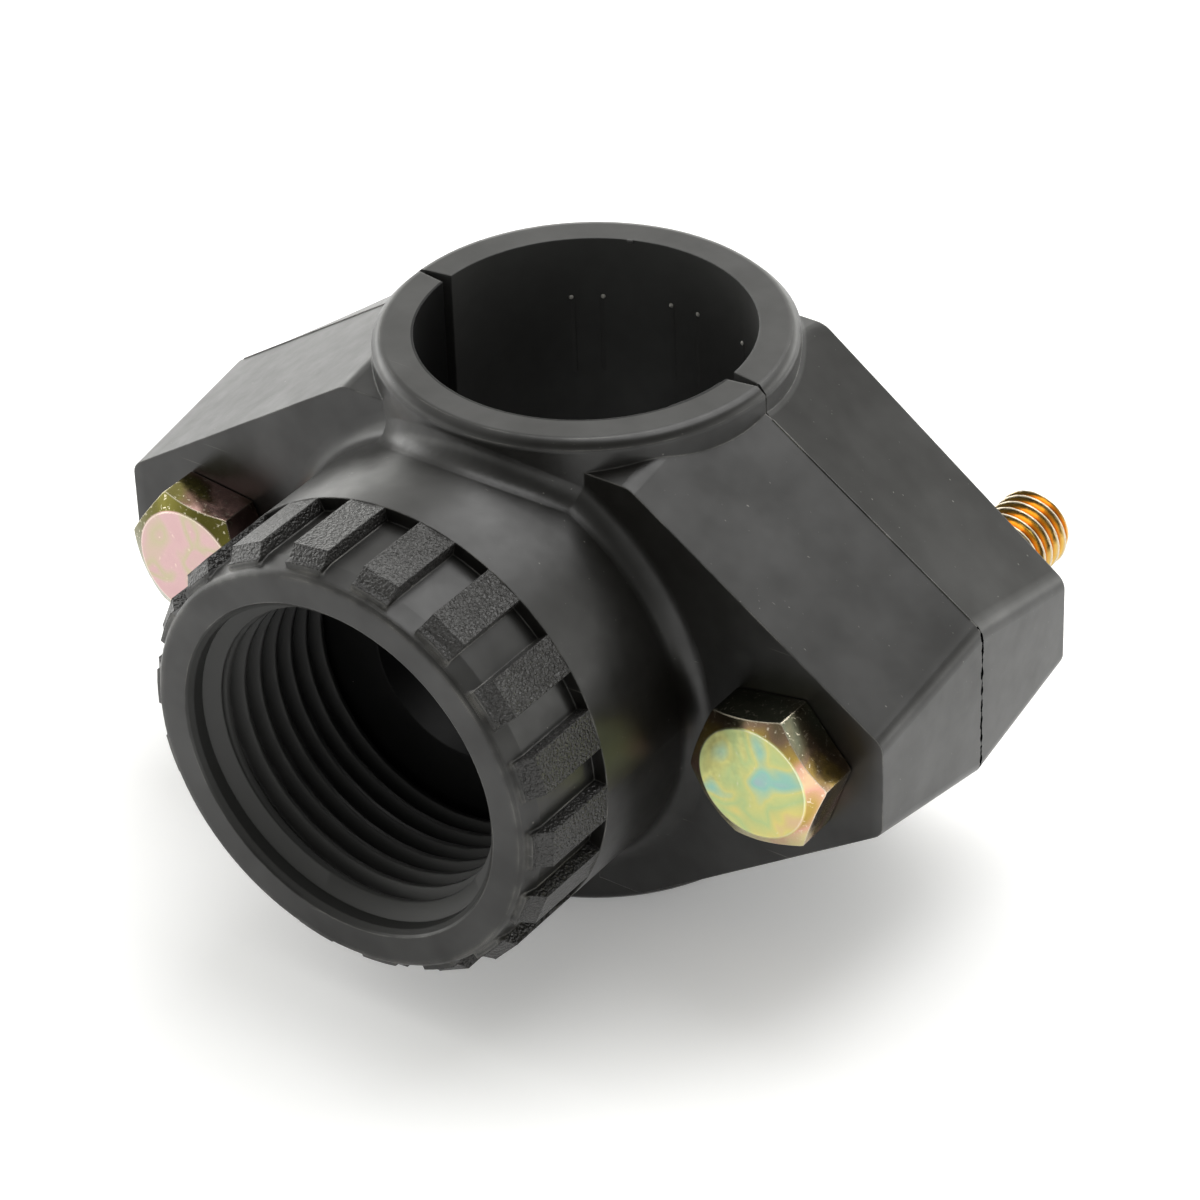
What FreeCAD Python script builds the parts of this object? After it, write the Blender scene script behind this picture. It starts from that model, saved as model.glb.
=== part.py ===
"""Tapping saddle for a 32 mm plastic pipe, with a one-inch female outlet.

Two moulded halves close round the pipe and are drawn together by two hexagon bolts.
The front half carries the ribbed outlet and, in a groove round its tapping port, a
saddle-shaped rubber seal. The back half holds the two nuts in hexagonal pockets.

Frame: millimetres, +Z along the pipe, the outlet points to -Y, +X to the right lug.
The origin is where the axis of the pipe and the axis of the outlet cross.
"""
import FreeCAD
import Part
import Sketcher
import math
import os
import re

V = FreeCAD.Vector

# Driving sizes: name, value in millimetres (degrees for the angles), meaning
SIZES = [
    ("pipe_radius", 16.0, "pipe that the saddle clamps"),
    ("bore_play", 0.08, "bore of both halves over the pipe, taken up by the grip ribs"),
    ("collar_wall", 3.92, "wall of the collar round the pipe"),
    ("collar_rise", 0.1, "collar end over the flat top at the parting plane"),
    ("collar_chamfer", 0.8, "chamfer of the collar's outer rim"),
    ("collar_gap", 0.65, "each half's relief at the bore, where the collar parts"),
    ("gap_length", 4.4, "bore to where that relief runs out"),
    ("plateau_half_width", 16.1, "flat top of the lug block, half its width"),
    ("plateau_drop", 3.05, "flat top, from the parting plane down to the front face"),
    ("back_plateau_drop", 1.95, "flat top, from the parting plane down to the back face"),
    ("slope_angle", 33.8, "slope from the flat top down to the lug ends"),
    ("back_twist", 2.5, "how much steeper the slope is at the back face"),
    ("front_setback", 3.5, "how far the collar stands proud of the front face"),
    ("back_setback", 5.0, "how far the collar stands proud of the back face"),
    ("bolt_spacing", 65.0, "distance between the bolt axes"),
    ("bolt_edge", 10.8, "bolt axis to the lug end at the parting plane"),
    ("front_draft", 0.25, "how far the lug end draws in at the front face"),
    ("back_draft", 0.2, "how far the lug end draws in at the back face"),
    ("back_widening", 0.5, "flat top's half width at the back face, over the one at the parting plane"),
    ("lug_round", 1.8, "rounding between the slopes and the lug ends"),
    ("plateau_round", 2.5, "rounding between the flat top and the slopes"),
    ("thread_radius", 16.62, "major radius of the one-inch pipe thread"),
    ("thread_length", 15.77, "threaded wall of the outlet"),
    ("mouth_widening", 0.28, "plain recess at the mouth over the thread"),
    ("mouth_recess", 2.88, "depth of that recess with the step at its end"),
    ("mouth_chamfer", 0.6, "chamfer at the inner edge of the mouth"),
    ("mouth_break", 0.3, "broken outer edge of the mouth"),
    ("port_wall", 5.92, "bore to the floor of the outlet"),
    ("boss_wall", 5.88, "plain part of the outlet boss, from the thread outwards"),
    ("boss_margin", 0.45, "front face's flat top over the boss"),
    ("boss_foot_round", 2.2, "hollow round at the foot of the boss"),
    ("boss_rise", 13.5, "front face to the shoulder behind the ribs"),
    ("rib_sink", 0.1, "tops of the ribs under the boss"),
    ("rib_height", 1.3, "ribs over the outlet wall between them"),
    ("rib_width", 3.9, "width of one rib"),
    ("rib_count", 18, "ribs round the outlet"),
    ("rib_phase", 17.5, "angle of the first rib, from +X towards +Z"),
    ("rib_length", 8.3, "shoulder to the end of a rib's flat top"),
    ("rib_nose_length", 1.0, "sloping nose of a rib"),
    ("rib_nose_drop", 1.0, "that nose, measured across"),
    ("rib_foot_length", 0.55, "low foot in front of the nose"),
    ("mouth_bevel_length", 2.4, "bevel at the front of the wall between the ribs"),
    ("mouth_bevel_depth", 0.45, "that bevel, measured across"),
    ("seal_margin", 2.2, "how far the seal's outside stays within the pipe's side"),
    ("seal_width", 3.2, "seal, from its inside to its outside"),
    ("seal_depth", 2.2, "seal, from the pipe outwards"),
    ("seal_clearance", 0.1, "room between the seal and its groove"),
    ("port_land", 1.1, "web between the seal and the port that is drilled through the pipe"),
    ("bolt_radius", 3.56, "pitch radius of the bolt, less its play"),
    ("bolt_hole_play", 0.94, "clearance hole over the bolt, on the radius"),
    ("bolt_length", 45.0, "bolt under its head"),
    ("bolt_tip_chamfer", 0.9, "chamfer at the bolt's tip"),
    ("hexagon_width", 13.0, "bolt head and nut across flats"),
    ("hexagon_chamfer_angle", 30.0, "chamfer of heads and nuts"),
    ("head_height", 5.3, "height of a bolt head"),
    ("head_face_radius", 5.65, "round face that the head's chamfer leaves"),
    ("left_head_angle", 53.7, "turn of the left bolt"),
    ("right_head_angle", 10.0, "turn of the right bolt"),
    ("nut_height", 6.5, "height of a nut"),
    ("nut_face_radius", 6.2, "round face that the nut's chamfer leaves"),
    ("nut_play", 0.08, "nut's bore over the bolt, on the radius"),
    ("pocket_play", 0.15, "nut pocket over the nut, on each side"),
    ("pocket_cover", 0.5, "depth of the nut pocket over the nut"),
    ("grip_half_spacing", 1.55, "half the distance of a pair of grip ribs"),
    ("grip_width", 0.7, "width of a grip rib"),
    ("grip_pair_angle", 35.5, "angle between two pairs of grip ribs"),
    ("grip_inset", 6.4, "collar end to the outer end of a grip rib"),
    ("grip_length", 8.5, "length of a grip rib"),
]
# Sizes that follow from the driving ones
RELATIONS = {
    "bore_radius": "pipe_radius + bore_play",
    "collar_radius": "bore_radius + collar_wall",
    "front_depth": "collar_radius - front_setback",
    "back_depth": "collar_radius - back_setback",
    "gap_end": "bore_radius + gap_length",
    "boss_radius": "thread_radius + boss_wall",
    "front_plateau_height": "boss_radius + boss_margin",
    "plateau_height": "front_plateau_height + plateau_drop",
    "back_plateau_height": "plateau_height - back_plateau_drop",
    "collar_half_length": "plateau_height + collar_rise",
    "back_half_width": "plateau_half_width + back_widening",
    "back_slope_angle": "slope_angle + back_twist",
    "lug_reach": "bolt_spacing / 2 + bolt_edge",
    "front_reach": "lug_reach - front_draft",
    "back_reach": "lug_reach - back_draft",
    "bolt_hole_radius": "bolt_radius + bolt_hole_play",
    "mouth_radius": "thread_radius + mouth_widening",
    "outlet_floor": "bore_radius + port_wall",
    "outlet_length": "outlet_floor + thread_length + mouth_recess",
    "boss_length": "front_depth + boss_rise",
    "rib_radius": "boss_radius - rib_sink",
    "rib_floor_radius": "rib_radius - rib_height",
    "rib_end": "boss_length + rib_length",
    "seal_outer_radius": "pipe_radius - seal_margin",
    "seal_inner_radius": "seal_outer_radius - seal_width",
    "port_radius": "seal_inner_radius - port_land",
    "pocket_depth": "nut_height + pocket_cover",
    "grip_top": "collar_half_length - grip_inset",
}
ALIASES = {alias for alias, _, _ in SIZES}
GRIP_PAIRS = 3
OVERLAP = 0.5  # how far a piece of material reaches into what carries it, or a cut past what it opens
NEAR = 0.01  # how close an edge has to lie to a surface to count as on it

doc = FreeCAD.newDocument("tapping_saddle")
sheet = doc.addObject("Spreadsheet::Sheet", "sizes")


def fill_sheet():
    """Write the driving sizes as plain numbers with aliases."""
    for row, (alias, value, meaning) in enumerate(SIZES, start=1):
        sheet.set(f"A{row}", meaning)
        sheet.set(f"B{row}", str(value))
        sheet.setAlias(f"B{row}", alias)
    doc.recompute()


def named(expression):
    """Work out an expression's relations down to the driving sizes, with the sheet's name in front of each."""
    def spell(word):
        """One word of the expression, as the sheet knows it."""
        name = word[0]
        if name in RELATIONS:
            return f"({named(RELATIONS[name])})"
        return f"sizes.{name}" if name in ALIASES else name

    return re.sub(r"[a-z_]+", spell, expression)


def value_of(expression):
    """Number that an expression of the sheet's aliases gives."""
    return float(sheet.evalExpression(named(expression)))


def new_body(label):
    """Body with its own label, at the origin."""
    body = doc.addObject("PartDesign::Body", label)
    body.Label = label
    return body


def new_sketch(body, name, role, offset="0", turn="0"):
    """Sketch on one of the body's origin planes, moved along its normal and turned about it."""
    sketch = body.newObject("Sketcher::SketchObject", f"{body.Label}_{name}")
    plane = next(item for item in body.Origin.OriginFeatures if item.Role == role)
    sketch.AttachmentSupport = [(plane, "")]
    sketch.MapMode = "FlatFace"
    sketch.setExpression(".AttachmentOffset.Base.z", named(offset))
    sketch.setExpression(".AttachmentOffset.Rotation.Angle", named(turn))
    return sketch


def fix_point(sketch, line, corner, across, up):
    """Tie one point of a sketch to its two expressions."""
    for kind, expression, axis in (("DistanceX", across, -2), ("DistanceY", up, -1)):
        if expression == "0":
            sketch.addConstraint(Sketcher.Constraint("PointOnObject", line, corner, axis))
            continue
        size = value_of(expression)
        index = sketch.addConstraint(Sketcher.Constraint(kind, -1, 1, line, corner, size))
        sketch.setExpression(f"Constraints[{index}]", named(expression))


def draw_outline(sketch, corners):
    """Closed outline whose corners are pairs of expressions, or threes with a rounding radius."""
    count = len(corners)
    places = [V(value_of(corner[0]), value_of(corner[1]), 0) for corner in corners]
    roundings = [value_of(corner[2]) if len(corner) > 2 else 0.0 for corner in corners]
    entries = []
    exits = []
    for index, place in enumerate(places):
        back = (places[index - 1] - place).normalize()
        ahead = (places[(index + 1) % count] - place).normalize()
        trim = roundings[index] / math.tan(back.getAngle(ahead) / 2)
        entries.append(place + back * trim)
        exits.append(place + ahead * trim)
    first = sketch.GeometryCount
    for index in range(count):
        sketch.addGeometry(Part.LineSegment(exits[index], entries[(index + 1) % count]), False)
    for index, corner in enumerate(corners):
        before = first + (index - 1) % count
        after = first + index
        if roundings[index] == 0.0:
            sketch.addConstraint(Sketcher.Constraint("Coincident", before, 2, after, 1))
            fix_point(sketch, after, 1, corner[0], corner[1])
        else:
            round_corner(sketch, before, after, places[index], entries[index], exits[index], corner)


def round_corner(sketch, before, after, place, entry, leave, corner):
    """Tangent arc between two lines, with its sharp corner kept as a construction point."""
    radius = value_of(corner[2])
    inward = (entry + leave) * 0.5 - place
    half_chord = (entry - leave).Length / 2
    centre_distance = inward.Length + math.sqrt(radius**2 - half_chord**2)
    top = place + inward.normalize() * (centre_distance - radius)
    arc = sketch.addGeometry(Part.Arc(entry, top, leave), False)
    starts_at_entry = (sketch.getPoint(arc, 1) - entry).Length < (sketch.getPoint(arc, 2) - entry).Length
    enters = 1 if starts_at_entry else 2
    sketch.addConstraint(Sketcher.Constraint("Tangent", before, 2, arc, enters))
    sketch.addConstraint(Sketcher.Constraint("Tangent", arc, 3 - enters, after, 1))
    index = sketch.addConstraint(Sketcher.Constraint("Radius", arc, radius))
    sketch.setExpression(f"Constraints[{index}]", named(corner[2]))
    sharp = sketch.addGeometry(Part.Point(place), True)
    sketch.addConstraint(Sketcher.Constraint("PointOnObject", sharp, 1, before))
    sketch.addConstraint(Sketcher.Constraint("PointOnObject", sharp, 1, after))
    fix_point(sketch, sharp, 1, corner[0], corner[1])


def draw_circle(sketch, radius, across="0", up="0"):
    """Circle whose radius and centre are expressions."""
    centre = V(value_of(across), value_of(up), 0)
    line = sketch.addGeometry(Part.Circle(centre, V(0, 0, 1), value_of(radius)), False)
    index = sketch.addConstraint(Sketcher.Constraint("Radius", line, value_of(radius)))
    sketch.setExpression(f"Constraints[{index}]", named(radius))
    fix_point(sketch, line, 3, across, up)


def draw_hexagon(sketch, width, across="0"):
    """Hexagon of a width across flats, with a corner on its own horizontal line."""
    corner_radius = f"({width}) / 2 / cos(30)"
    corners = []
    for angle in range(0, 360, 60):
        corners.append((f"{across} + {corner_radius} * cos({angle})", f"{corner_radius} * sin({angle})"))
    corners[0] = (corners[0][0], "0")
    corners[3] = (corners[3][0], "0")
    draw_outline(sketch, corners)


def finish_feature(body, feature, sketch, before, cuts):
    """Recompute, and stop if the feature changed the body's volume the wrong way."""
    sketch.Visibility = False
    doc.recompute()
    change = body.Shape.Volume - before
    if (change > -NEAR) if cuts else (change < NEAR):
        raise RuntimeError(f"{feature.Label} changes the volume by {change:.3f}")
    return feature


def volume_of(body):
    """Volume of a body's shape, or nothing for an empty body."""
    return body.Shape.Volume if body.Tip else 0.0


def extrude(body, name, sketch, length, cut=False, reverse=False, midplane=False):
    """Pad or pocket a sketch by an expression."""
    before = volume_of(body)
    feature = body.newObject("PartDesign::Pocket" if cut else "PartDesign::Pad", f"{body.Label}_{name}")
    feature.Profile = sketch
    feature.setExpression("Length", named(length))
    feature.Reversed = reverse
    feature.Midplane = midplane
    return finish_feature(body, feature, sketch, before, cut)


def turn(body, name, sketch, angle="360", cut=False, reverse=False):
    """Revolve or groove a sketch round its own vertical axis."""
    before = volume_of(body)
    kind = "PartDesign::Groove" if cut else "PartDesign::Revolution"
    feature = body.newObject(kind, f"{body.Label}_{name}")
    feature.Profile = sketch
    feature.ReferenceAxis = (sketch, ["V_Axis"])
    feature.setExpression("Angle", named(angle))
    feature.Reversed = reverse
    return finish_feature(body, feature, sketch, before, cut)


def pattern_round(body, name, original, sketch, count, angle):
    """Repeat a feature round the normal of its sketch."""
    pattern = body.newObject("PartDesign::PolarPattern", f"{body.Label}_{name}")
    pattern.Originals = [original]
    pattern.Axis = (sketch, ["N_Axis"])
    pattern.setExpression("Angle", named(angle))
    pattern.setExpression("Occurrences", named(count))
    body.Tip = pattern
    doc.recompute()
    return pattern


def edges_where(shape, test):
    """Names of the edges whose middle point passes a test."""
    names = []
    for index, edge in enumerate(shape.Edges, start=1):
        if test(edge.valueAt((edge.FirstParameter + edge.LastParameter) / 2)):
            names.append(f"Edge{index}")
    return names


def fillet(body, name, test, radius):
    """Round the edges of the body's last feature whose middle point passes a test."""
    base = body.Tip
    feature = body.newObject("PartDesign::Fillet", f"{body.Label}_{name}")
    feature.Base = (base, edges_where(base.Shape, test))
    feature.setExpression("Radius", named(radius))
    doc.recompute()
    return feature


def lug_outline(body, name, offset, half_width, height, reach, slope):
    """Rounded eight-cornered outline of the lug block at one depth."""
    sketch = new_sketch(body, name, "XZ_Plane", offset)
    end_height = f"{height} - ({reach} - {half_width}) * tan({slope})"
    quarter = [(half_width, height, "plateau_round"), (reach, end_height, "lug_round")]
    corners = []
    for mirrored_x, mirrored_z in ((False, False), (False, True), (True, True), (True, False)):
        points = quarter if mirrored_x == mirrored_z else reversed(quarter)
        for across, up, rounding in points:
            corner_x = f"-({across})" if mirrored_x else across
            corner_z = f"-({up})" if mirrored_z else up
            corners.append((corner_x, corner_z, rounding))
    draw_outline(sketch, corners)
    return sketch


def add_block(body, behind, ahead):
    """Block of the two lugs between two outlines."""
    block = body.newObject("PartDesign::AdditiveLoft", f"{body.Label}_lug_block")
    block.Profile = behind
    block.Sections = [ahead]
    block.Ruled = True
    doc.recompute()


def add_collar(body, front):
    """Half collar round the pipe, with its outer rims chamfered."""
    sketch = new_sketch(body, "collar_profile", "XZ_Plane")
    top = "collar_half_length"
    shoulder = "(collar_half_length - collar_chamfer)"
    face = "collar_radius - collar_chamfer"
    draw_outline(sketch, [
        ("0", f"-{top}"),
        (face, f"-{top}"),
        ("collar_radius", f"-{shoulder}"),
        ("collar_radius", shoulder),
        (face, top),
        ("0", top),
    ])
    turn(body, "collar", sketch, "180", reverse=front)


def cut_pipe_bore(body, front):
    """Half bore for the pipe, and the relief that narrows outwards where the collar parts."""
    sketch = new_sketch(body, "bore_outline", "XY_Plane")
    draw_circle(sketch, "bore_radius")
    extrude(body, "bore", sketch, "3 * collar_half_length", cut=True, midplane=True)
    relief = new_sketch(body, "relief_outline", "XY_Plane")
    depth = "-collar_gap" if front else "collar_gap"
    draw_outline(relief, [("-gap_end", "0"), ("gap_end", "0"), ("bore_radius", depth), ("-bore_radius", depth)])
    extrude(body, "relief", relief, "3 * collar_half_length", cut=True, midplane=True)


def cut_bolt_holes(body):
    """Clearance holes for both bolts."""
    sketch = new_sketch(body, "bolt_hole_outline", "XZ_Plane")
    for side in ("", "-"):
        draw_circle(sketch, "bolt_hole_radius", f"{side}bolt_spacing / 2")
    extrude(body, "bolt_holes", sketch, "3 * front_depth", cut=True, midplane=True)


def add_outlet(body):
    """Boss, shoulder and the bare outlet wall that carries the ribs."""
    sketch = new_sketch(body, "outlet_profile", "XY_Plane")
    mouth = "-outlet_length"
    draw_outline(sketch, [
        ("0", "0"),
        ("boss_radius", "0"),
        ("boss_radius", "-boss_length"),
        ("rib_floor_radius", "-boss_length"),
        ("rib_floor_radius", f"{mouth} + mouth_bevel_length"),
        ("rib_floor_radius - mouth_bevel_depth", f"{mouth} + mouth_break"),
        ("rib_floor_radius - mouth_bevel_depth - mouth_break", mouth),
        ("0", mouth),
    ])
    turn(body, "outlet", sketch)


def round_boss_foot(body):
    """Hollow round where the boss meets the front face and the collar."""
    boss = value_of("boss_radius")
    collar = value_of("collar_radius")
    face = -value_of("front_depth")

    def on_foot(middle):
        """The middle of an edge lies on the boss and on the front face or the collar."""
        on_boss = abs(math.hypot(middle.x, middle.z) - boss) < NEAR
        on_face = abs(middle.y - face) < NEAR
        on_collar = abs(math.hypot(middle.x, middle.y) - collar) < NEAR
        return on_boss and (on_face or on_collar)

    return fillet(body, "boss_foot_rounding", on_foot, "boss_foot_round")


def add_ribs(body):
    """Ribs round the outlet, from its shoulder forward, with a sloping nose and a low foot."""
    start = f"boss_length - {OVERLAP}"
    end = "rib_end + rib_nose_length + rib_foot_length"
    sketch = new_sketch(body, "rib_section", "XZ_Plane", start, "rib_phase")
    root = f"rib_floor_radius - {OVERLAP}"
    draw_outline(sketch, [
        (root, "-rib_width / 2"),
        ("rib_radius", "-rib_width / 2"),
        ("rib_radius", "rib_width / 2"),
        (root, "rib_width / 2"),
    ])
    rib = extrude(body, "rib", sketch, f"{end} - ({start})")
    pattern_round(body, "ribs", rib, sketch, "rib_count", "360")
    nose = new_sketch(body, "nose_profile", "XY_Plane")
    low = "rib_radius - rib_nose_drop"
    clear = f"rib_radius + {OVERLAP}"
    draw_outline(nose, [
        ("rib_radius", "-rib_end"),
        (low, "-rib_end - rib_nose_length"),
        (low, "-outlet_length"),
        (clear, "-outlet_length"),
        (clear, "-rib_end"),
    ])
    turn(body, "noses", nose, cut=True)


def cut_outlet_bore(body):
    """Mouth, bore at the thread's major radius, floor and tapping port."""
    sketch = new_sketch(body, "outlet_bore_profile", "XY_Plane")
    mouth = "-outlet_length"
    beyond = f"{mouth} - {OVERLAP}"
    draw_outline(sketch, [
        ("0", beyond),
        ("mouth_radius + mouth_chamfer", beyond),
        ("mouth_radius + mouth_chamfer", mouth),
        ("mouth_radius", f"{mouth} + mouth_chamfer"),
        ("mouth_radius", f"{mouth} + mouth_recess - mouth_widening"),
        ("thread_radius", f"{mouth} + mouth_recess"),
        ("thread_radius", "-outlet_floor"),
        ("port_radius", "-outlet_floor"),
        ("port_radius", "0"),
        ("0", "0"),
    ])
    turn(body, "outlet_bore", sketch, cut=True)


def cylinder(name, radius, length, forward):
    """Cylinder whose axis is the pipe's, or the outlet's when it points forward."""
    solid = doc.addObject("Part::Cylinder", name)
    solid.setExpression("Radius", named(radius))
    solid.setExpression("Height", named(length))
    if forward:
        solid.Placement = FreeCAD.Placement(V(), FreeCAD.Rotation(V(1, 0, 0), 90))
    else:
        solid.setExpression("Placement.Base.z", named(f"-({length}) / 2"))
    return solid


def combine(kind, name, base, tool):
    """Boolean of two objects."""
    result = doc.addObject(kind, name)
    result.Base = base
    result.Tool = tool
    return result


def seal_shape(name, inner, outer, far):
    """Ring round the port, from inside the pipe's surface out to a radius from the pipe's axis."""
    length = "2 * collar_radius"
    disc = cylinder(f"{name}_disc", outer, length, forward=True)
    hole = cylinder(f"{name}_hole", inner, length, forward=True)
    ring = combine("Part::Cut", f"{name}_ring", disc, hole)
    limit = cylinder(f"{name}_limit", far, "2 * collar_half_length", forward=False)
    return combine("Part::Common", name, ring, limit)


def make_upper_half():
    """Front half: lugs, collar, ribbed outlet, and the groove for the seal."""
    body = new_body("upper_moulding")
    parting = lug_outline(body, "parting_outline", "0", "plateau_half_width", "plateau_height", "lug_reach",
                          "slope_angle")
    face = lug_outline(body, "face_outline", "front_depth", "plateau_half_width", "front_plateau_height",
                       "front_reach", "slope_angle")
    add_block(body, parting, face)
    add_collar(body, front=True)
    add_outlet(body)
    round_boss_foot(body)
    add_ribs(body)
    cut_pipe_bore(body, front=True)
    cut_outlet_bore(body)
    cut_bolt_holes(body)
    groove = seal_shape("seal_groove", "seal_inner_radius - seal_clearance", "seal_outer_radius + seal_clearance",
                        "pipe_radius + seal_depth + seal_clearance")
    half = combine("Part::Cut", "upper_half", body, groove)
    half.Label = "upper_half"
    return half


def make_seal():
    """Rubber seal, as it lies against the pipe."""
    block = seal_shape("seal_block", "seal_inner_radius", "seal_outer_radius", "pipe_radius + seal_depth")
    pipe = cylinder("seal_pipe", "pipe_radius", "2 * collar_half_length", forward=False)
    seal = combine("Part::Cut", "seal_ring", block, pipe)
    seal.Label = "seal_ring"
    return seal


def add_grip_ribs(body, end):
    """Pairs of short ribs that grip the pipe, near one end of the bore."""
    start = "grip_top - grip_length" if end == "top" else "-grip_top"
    sketch = new_sketch(body, f"{end}_grip_section", "XY_Plane", start, "-grip_pair_angle")
    near = "pipe_radius"
    far = f"bore_radius + {OVERLAP}"
    for side in ("", "-"):
        low = f"{side}(grip_half_spacing - grip_width / 2)"
        high = f"{side}(grip_half_spacing + grip_width / 2)"
        draw_outline(sketch, [(low, near), (high, near), (high, far), (low, far)])
    ribs = extrude(body, f"{end}_grip_pair", sketch, "grip_length")
    pattern_round(body, f"{end}_grip_ribs", ribs, sketch, str(GRIP_PAIRS), f"grip_pair_angle * {GRIP_PAIRS - 1}")


def make_lower_half():
    """Back half: lugs, collar, grip ribs and nut pockets."""
    body = new_body("lower_half")
    parting = lug_outline(body, "parting_outline", "0", "plateau_half_width", "plateau_height", "lug_reach",
                          "slope_angle")
    face = lug_outline(body, "face_outline", "-back_depth", "back_half_width", "back_plateau_height",
                       "back_reach", "back_slope_angle")
    add_block(body, face, parting)
    add_collar(body, front=False)
    cut_pipe_bore(body, front=False)
    cut_bolt_holes(body)
    pockets = new_sketch(body, "pocket_outline", "XZ_Plane", "-back_depth")
    for side in ("", "-"):
        draw_hexagon(pockets, "hexagon_width + 2 * pocket_play", f"{side}bolt_spacing / 2")
    extrude(body, "nut_pockets", pockets, "pocket_depth", cut=True, reverse=True)
    for end in ("top", "bottom"):
        add_grip_ribs(body, end)
    return body


def place(body, across, depth):
    """Put a bolt or nut on its axis, with its own +Z towards the front."""
    body.Placement = FreeCAD.Placement(V(), FreeCAD.Rotation(V(1, 0, 0), 90))
    body.setExpression("Placement.Base.x", named(across))
    body.setExpression("Placement.Base.y", named(depth))


def chamfer_hexagon(body, name, face_radius, level, upward):
    """Turned chamfer that leaves a round face on one end of a hexagon."""
    sketch = new_sketch(body, f"{name}_profile", "XZ_Plane")
    outer = f"hexagon_width / 2 / cos(30) + {OVERLAP}"
    drop = f"({outer} - {face_radius}) * tan(hexagon_chamfer_angle)"
    low = f"{level} - {drop}" if upward else f"{level} + {drop}"
    draw_outline(sketch, [(face_radius, level), (outer, level), (outer, low)])
    turn(body, name, sketch, cut=True)


def make_bolt(label, across, angle):
    """Hexagon bolt, seated on the front face, its shank at the thread's pitch radius."""
    body = new_body(label)
    hexagon = new_sketch(body, "head_outline", "XY_Plane", turn=angle)
    draw_hexagon(hexagon, "hexagon_width")
    extrude(body, "head", hexagon, "head_height")
    chamfer_hexagon(body, "head_chamfer", "head_face_radius", "head_height", upward=True)
    shank = new_sketch(body, "shank_profile", "XZ_Plane")
    draw_outline(shank, [
        ("0", f"{OVERLAP}"),
        ("bolt_radius", f"{OVERLAP}"),
        ("bolt_radius", "-bolt_length + bolt_tip_chamfer"),
        ("bolt_radius - bolt_tip_chamfer", "-bolt_length"),
        ("0", "-bolt_length"),
    ])
    turn(body, "shank", shank)
    place(body, across, "-front_depth")
    return body


def make_nut(label, across):
    """Hexagon nut on the floor of its pocket."""
    body = new_body(label)
    outline = new_sketch(body, "outline", "XY_Plane")
    draw_hexagon(outline, "hexagon_width")
    extrude(body, "hexagon", outline, "nut_height", reverse=True)
    chamfer_hexagon(body, "chamfer", "nut_face_radius", "-nut_height", upward=False)
    bore = new_sketch(body, "bore_outline", "XY_Plane")
    draw_circle(bore, "bolt_radius + nut_play")
    extrude(body, "bore", bore, "3 * nut_height", cut=True, midplane=True)
    place(body, across, "back_depth - pocket_depth")
    return body


def write_parts(parts):
    """Check every object of the document, then write each sub-part."""
    doc.recompute()
    for item in doc.Objects:
        if "Invalid" in item.State or "Error" in item.State:
            raise RuntimeError(f"{item.Name} failed: {item.State}")
    for part in parts:
        if part.Shape.isNull() or not part.Shape.isValid():
            raise RuntimeError(f"{part.Label} has no valid shape")
        print(f"{part.Label}: {len(part.Shape.Solids)} solid, {part.Shape.Volume:.1f} mm3")
    os.makedirs("parts", exist_ok=True)
    for part in parts:
        part.Shape.exportStep(f"parts/{part.Label}.step")


def main():
    """Build every sub-part and write it."""
    fill_sheet()
    parts = [make_upper_half(), make_seal(), make_lower_half()]
    for side, across in (("left", "-bolt_spacing / 2"), ("right", "bolt_spacing / 2")):
        parts.append(make_bolt(f"{side}_bolt", across, f"{side}_head_angle"))
        parts.append(make_nut(f"{side}_nut", across))
    write_parts(parts)


main()
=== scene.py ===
"""Looks of the tapping saddle: moulded black plastic, zinc-plated bolts, cut threads and studio light."""

import logging
import math
from collections.abc import Callable, Iterable
from dataclasses import dataclass
from enum import Enum
from functools import partial

import bmesh
import bpy
from mathutils import Matrix, Vector

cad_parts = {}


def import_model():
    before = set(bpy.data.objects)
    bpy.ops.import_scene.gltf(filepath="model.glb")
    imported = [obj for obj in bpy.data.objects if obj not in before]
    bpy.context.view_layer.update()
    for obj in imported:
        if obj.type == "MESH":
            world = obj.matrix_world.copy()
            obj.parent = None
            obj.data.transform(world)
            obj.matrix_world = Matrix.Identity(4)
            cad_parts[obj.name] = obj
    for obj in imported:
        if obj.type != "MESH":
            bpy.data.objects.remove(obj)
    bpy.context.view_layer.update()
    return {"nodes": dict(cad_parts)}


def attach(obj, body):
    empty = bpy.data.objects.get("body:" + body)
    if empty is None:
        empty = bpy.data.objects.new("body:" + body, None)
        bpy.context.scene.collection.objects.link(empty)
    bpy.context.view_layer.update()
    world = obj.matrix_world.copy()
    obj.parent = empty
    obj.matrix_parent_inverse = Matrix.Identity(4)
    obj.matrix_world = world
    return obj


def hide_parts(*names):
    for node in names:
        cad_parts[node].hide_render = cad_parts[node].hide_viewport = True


MM = 0.001
# Points closer than the first are merged, and edges shorter than the second are dissolved
MERGE_MM = 0.002
SHORT_MM = 0.001
BOLT_MM = 32.5
BOLT_SEAT_MM = -16.5
NUT_SEAT_MM = 20.0
LOG = logging.getLogger("tapping_saddle")
Material = bpy.types.Material
Node = bpy.types.Node
Piece = bpy.types.Object
Socket = bpy.types.NodeSocket
Adder = Callable[..., Node]
Point = tuple[float, float, float]
Stops = tuple[tuple[float, str], ...]
Value = float | int | bool | str | tuple | Socket | Node | Material


class Body(str, Enum):
    """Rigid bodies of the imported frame."""

    FRONT = "front_half"
    BACK = "back_half"
    LEFT_BOLT = "left_bolt"
    RIGHT_BOLT = "right_bolt"


class Slot(str, Enum):
    """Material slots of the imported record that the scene's own pieces use."""

    PLASTIC = "moulded_plastic"
    BOLT = "zinc_plated_bolt"


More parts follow.
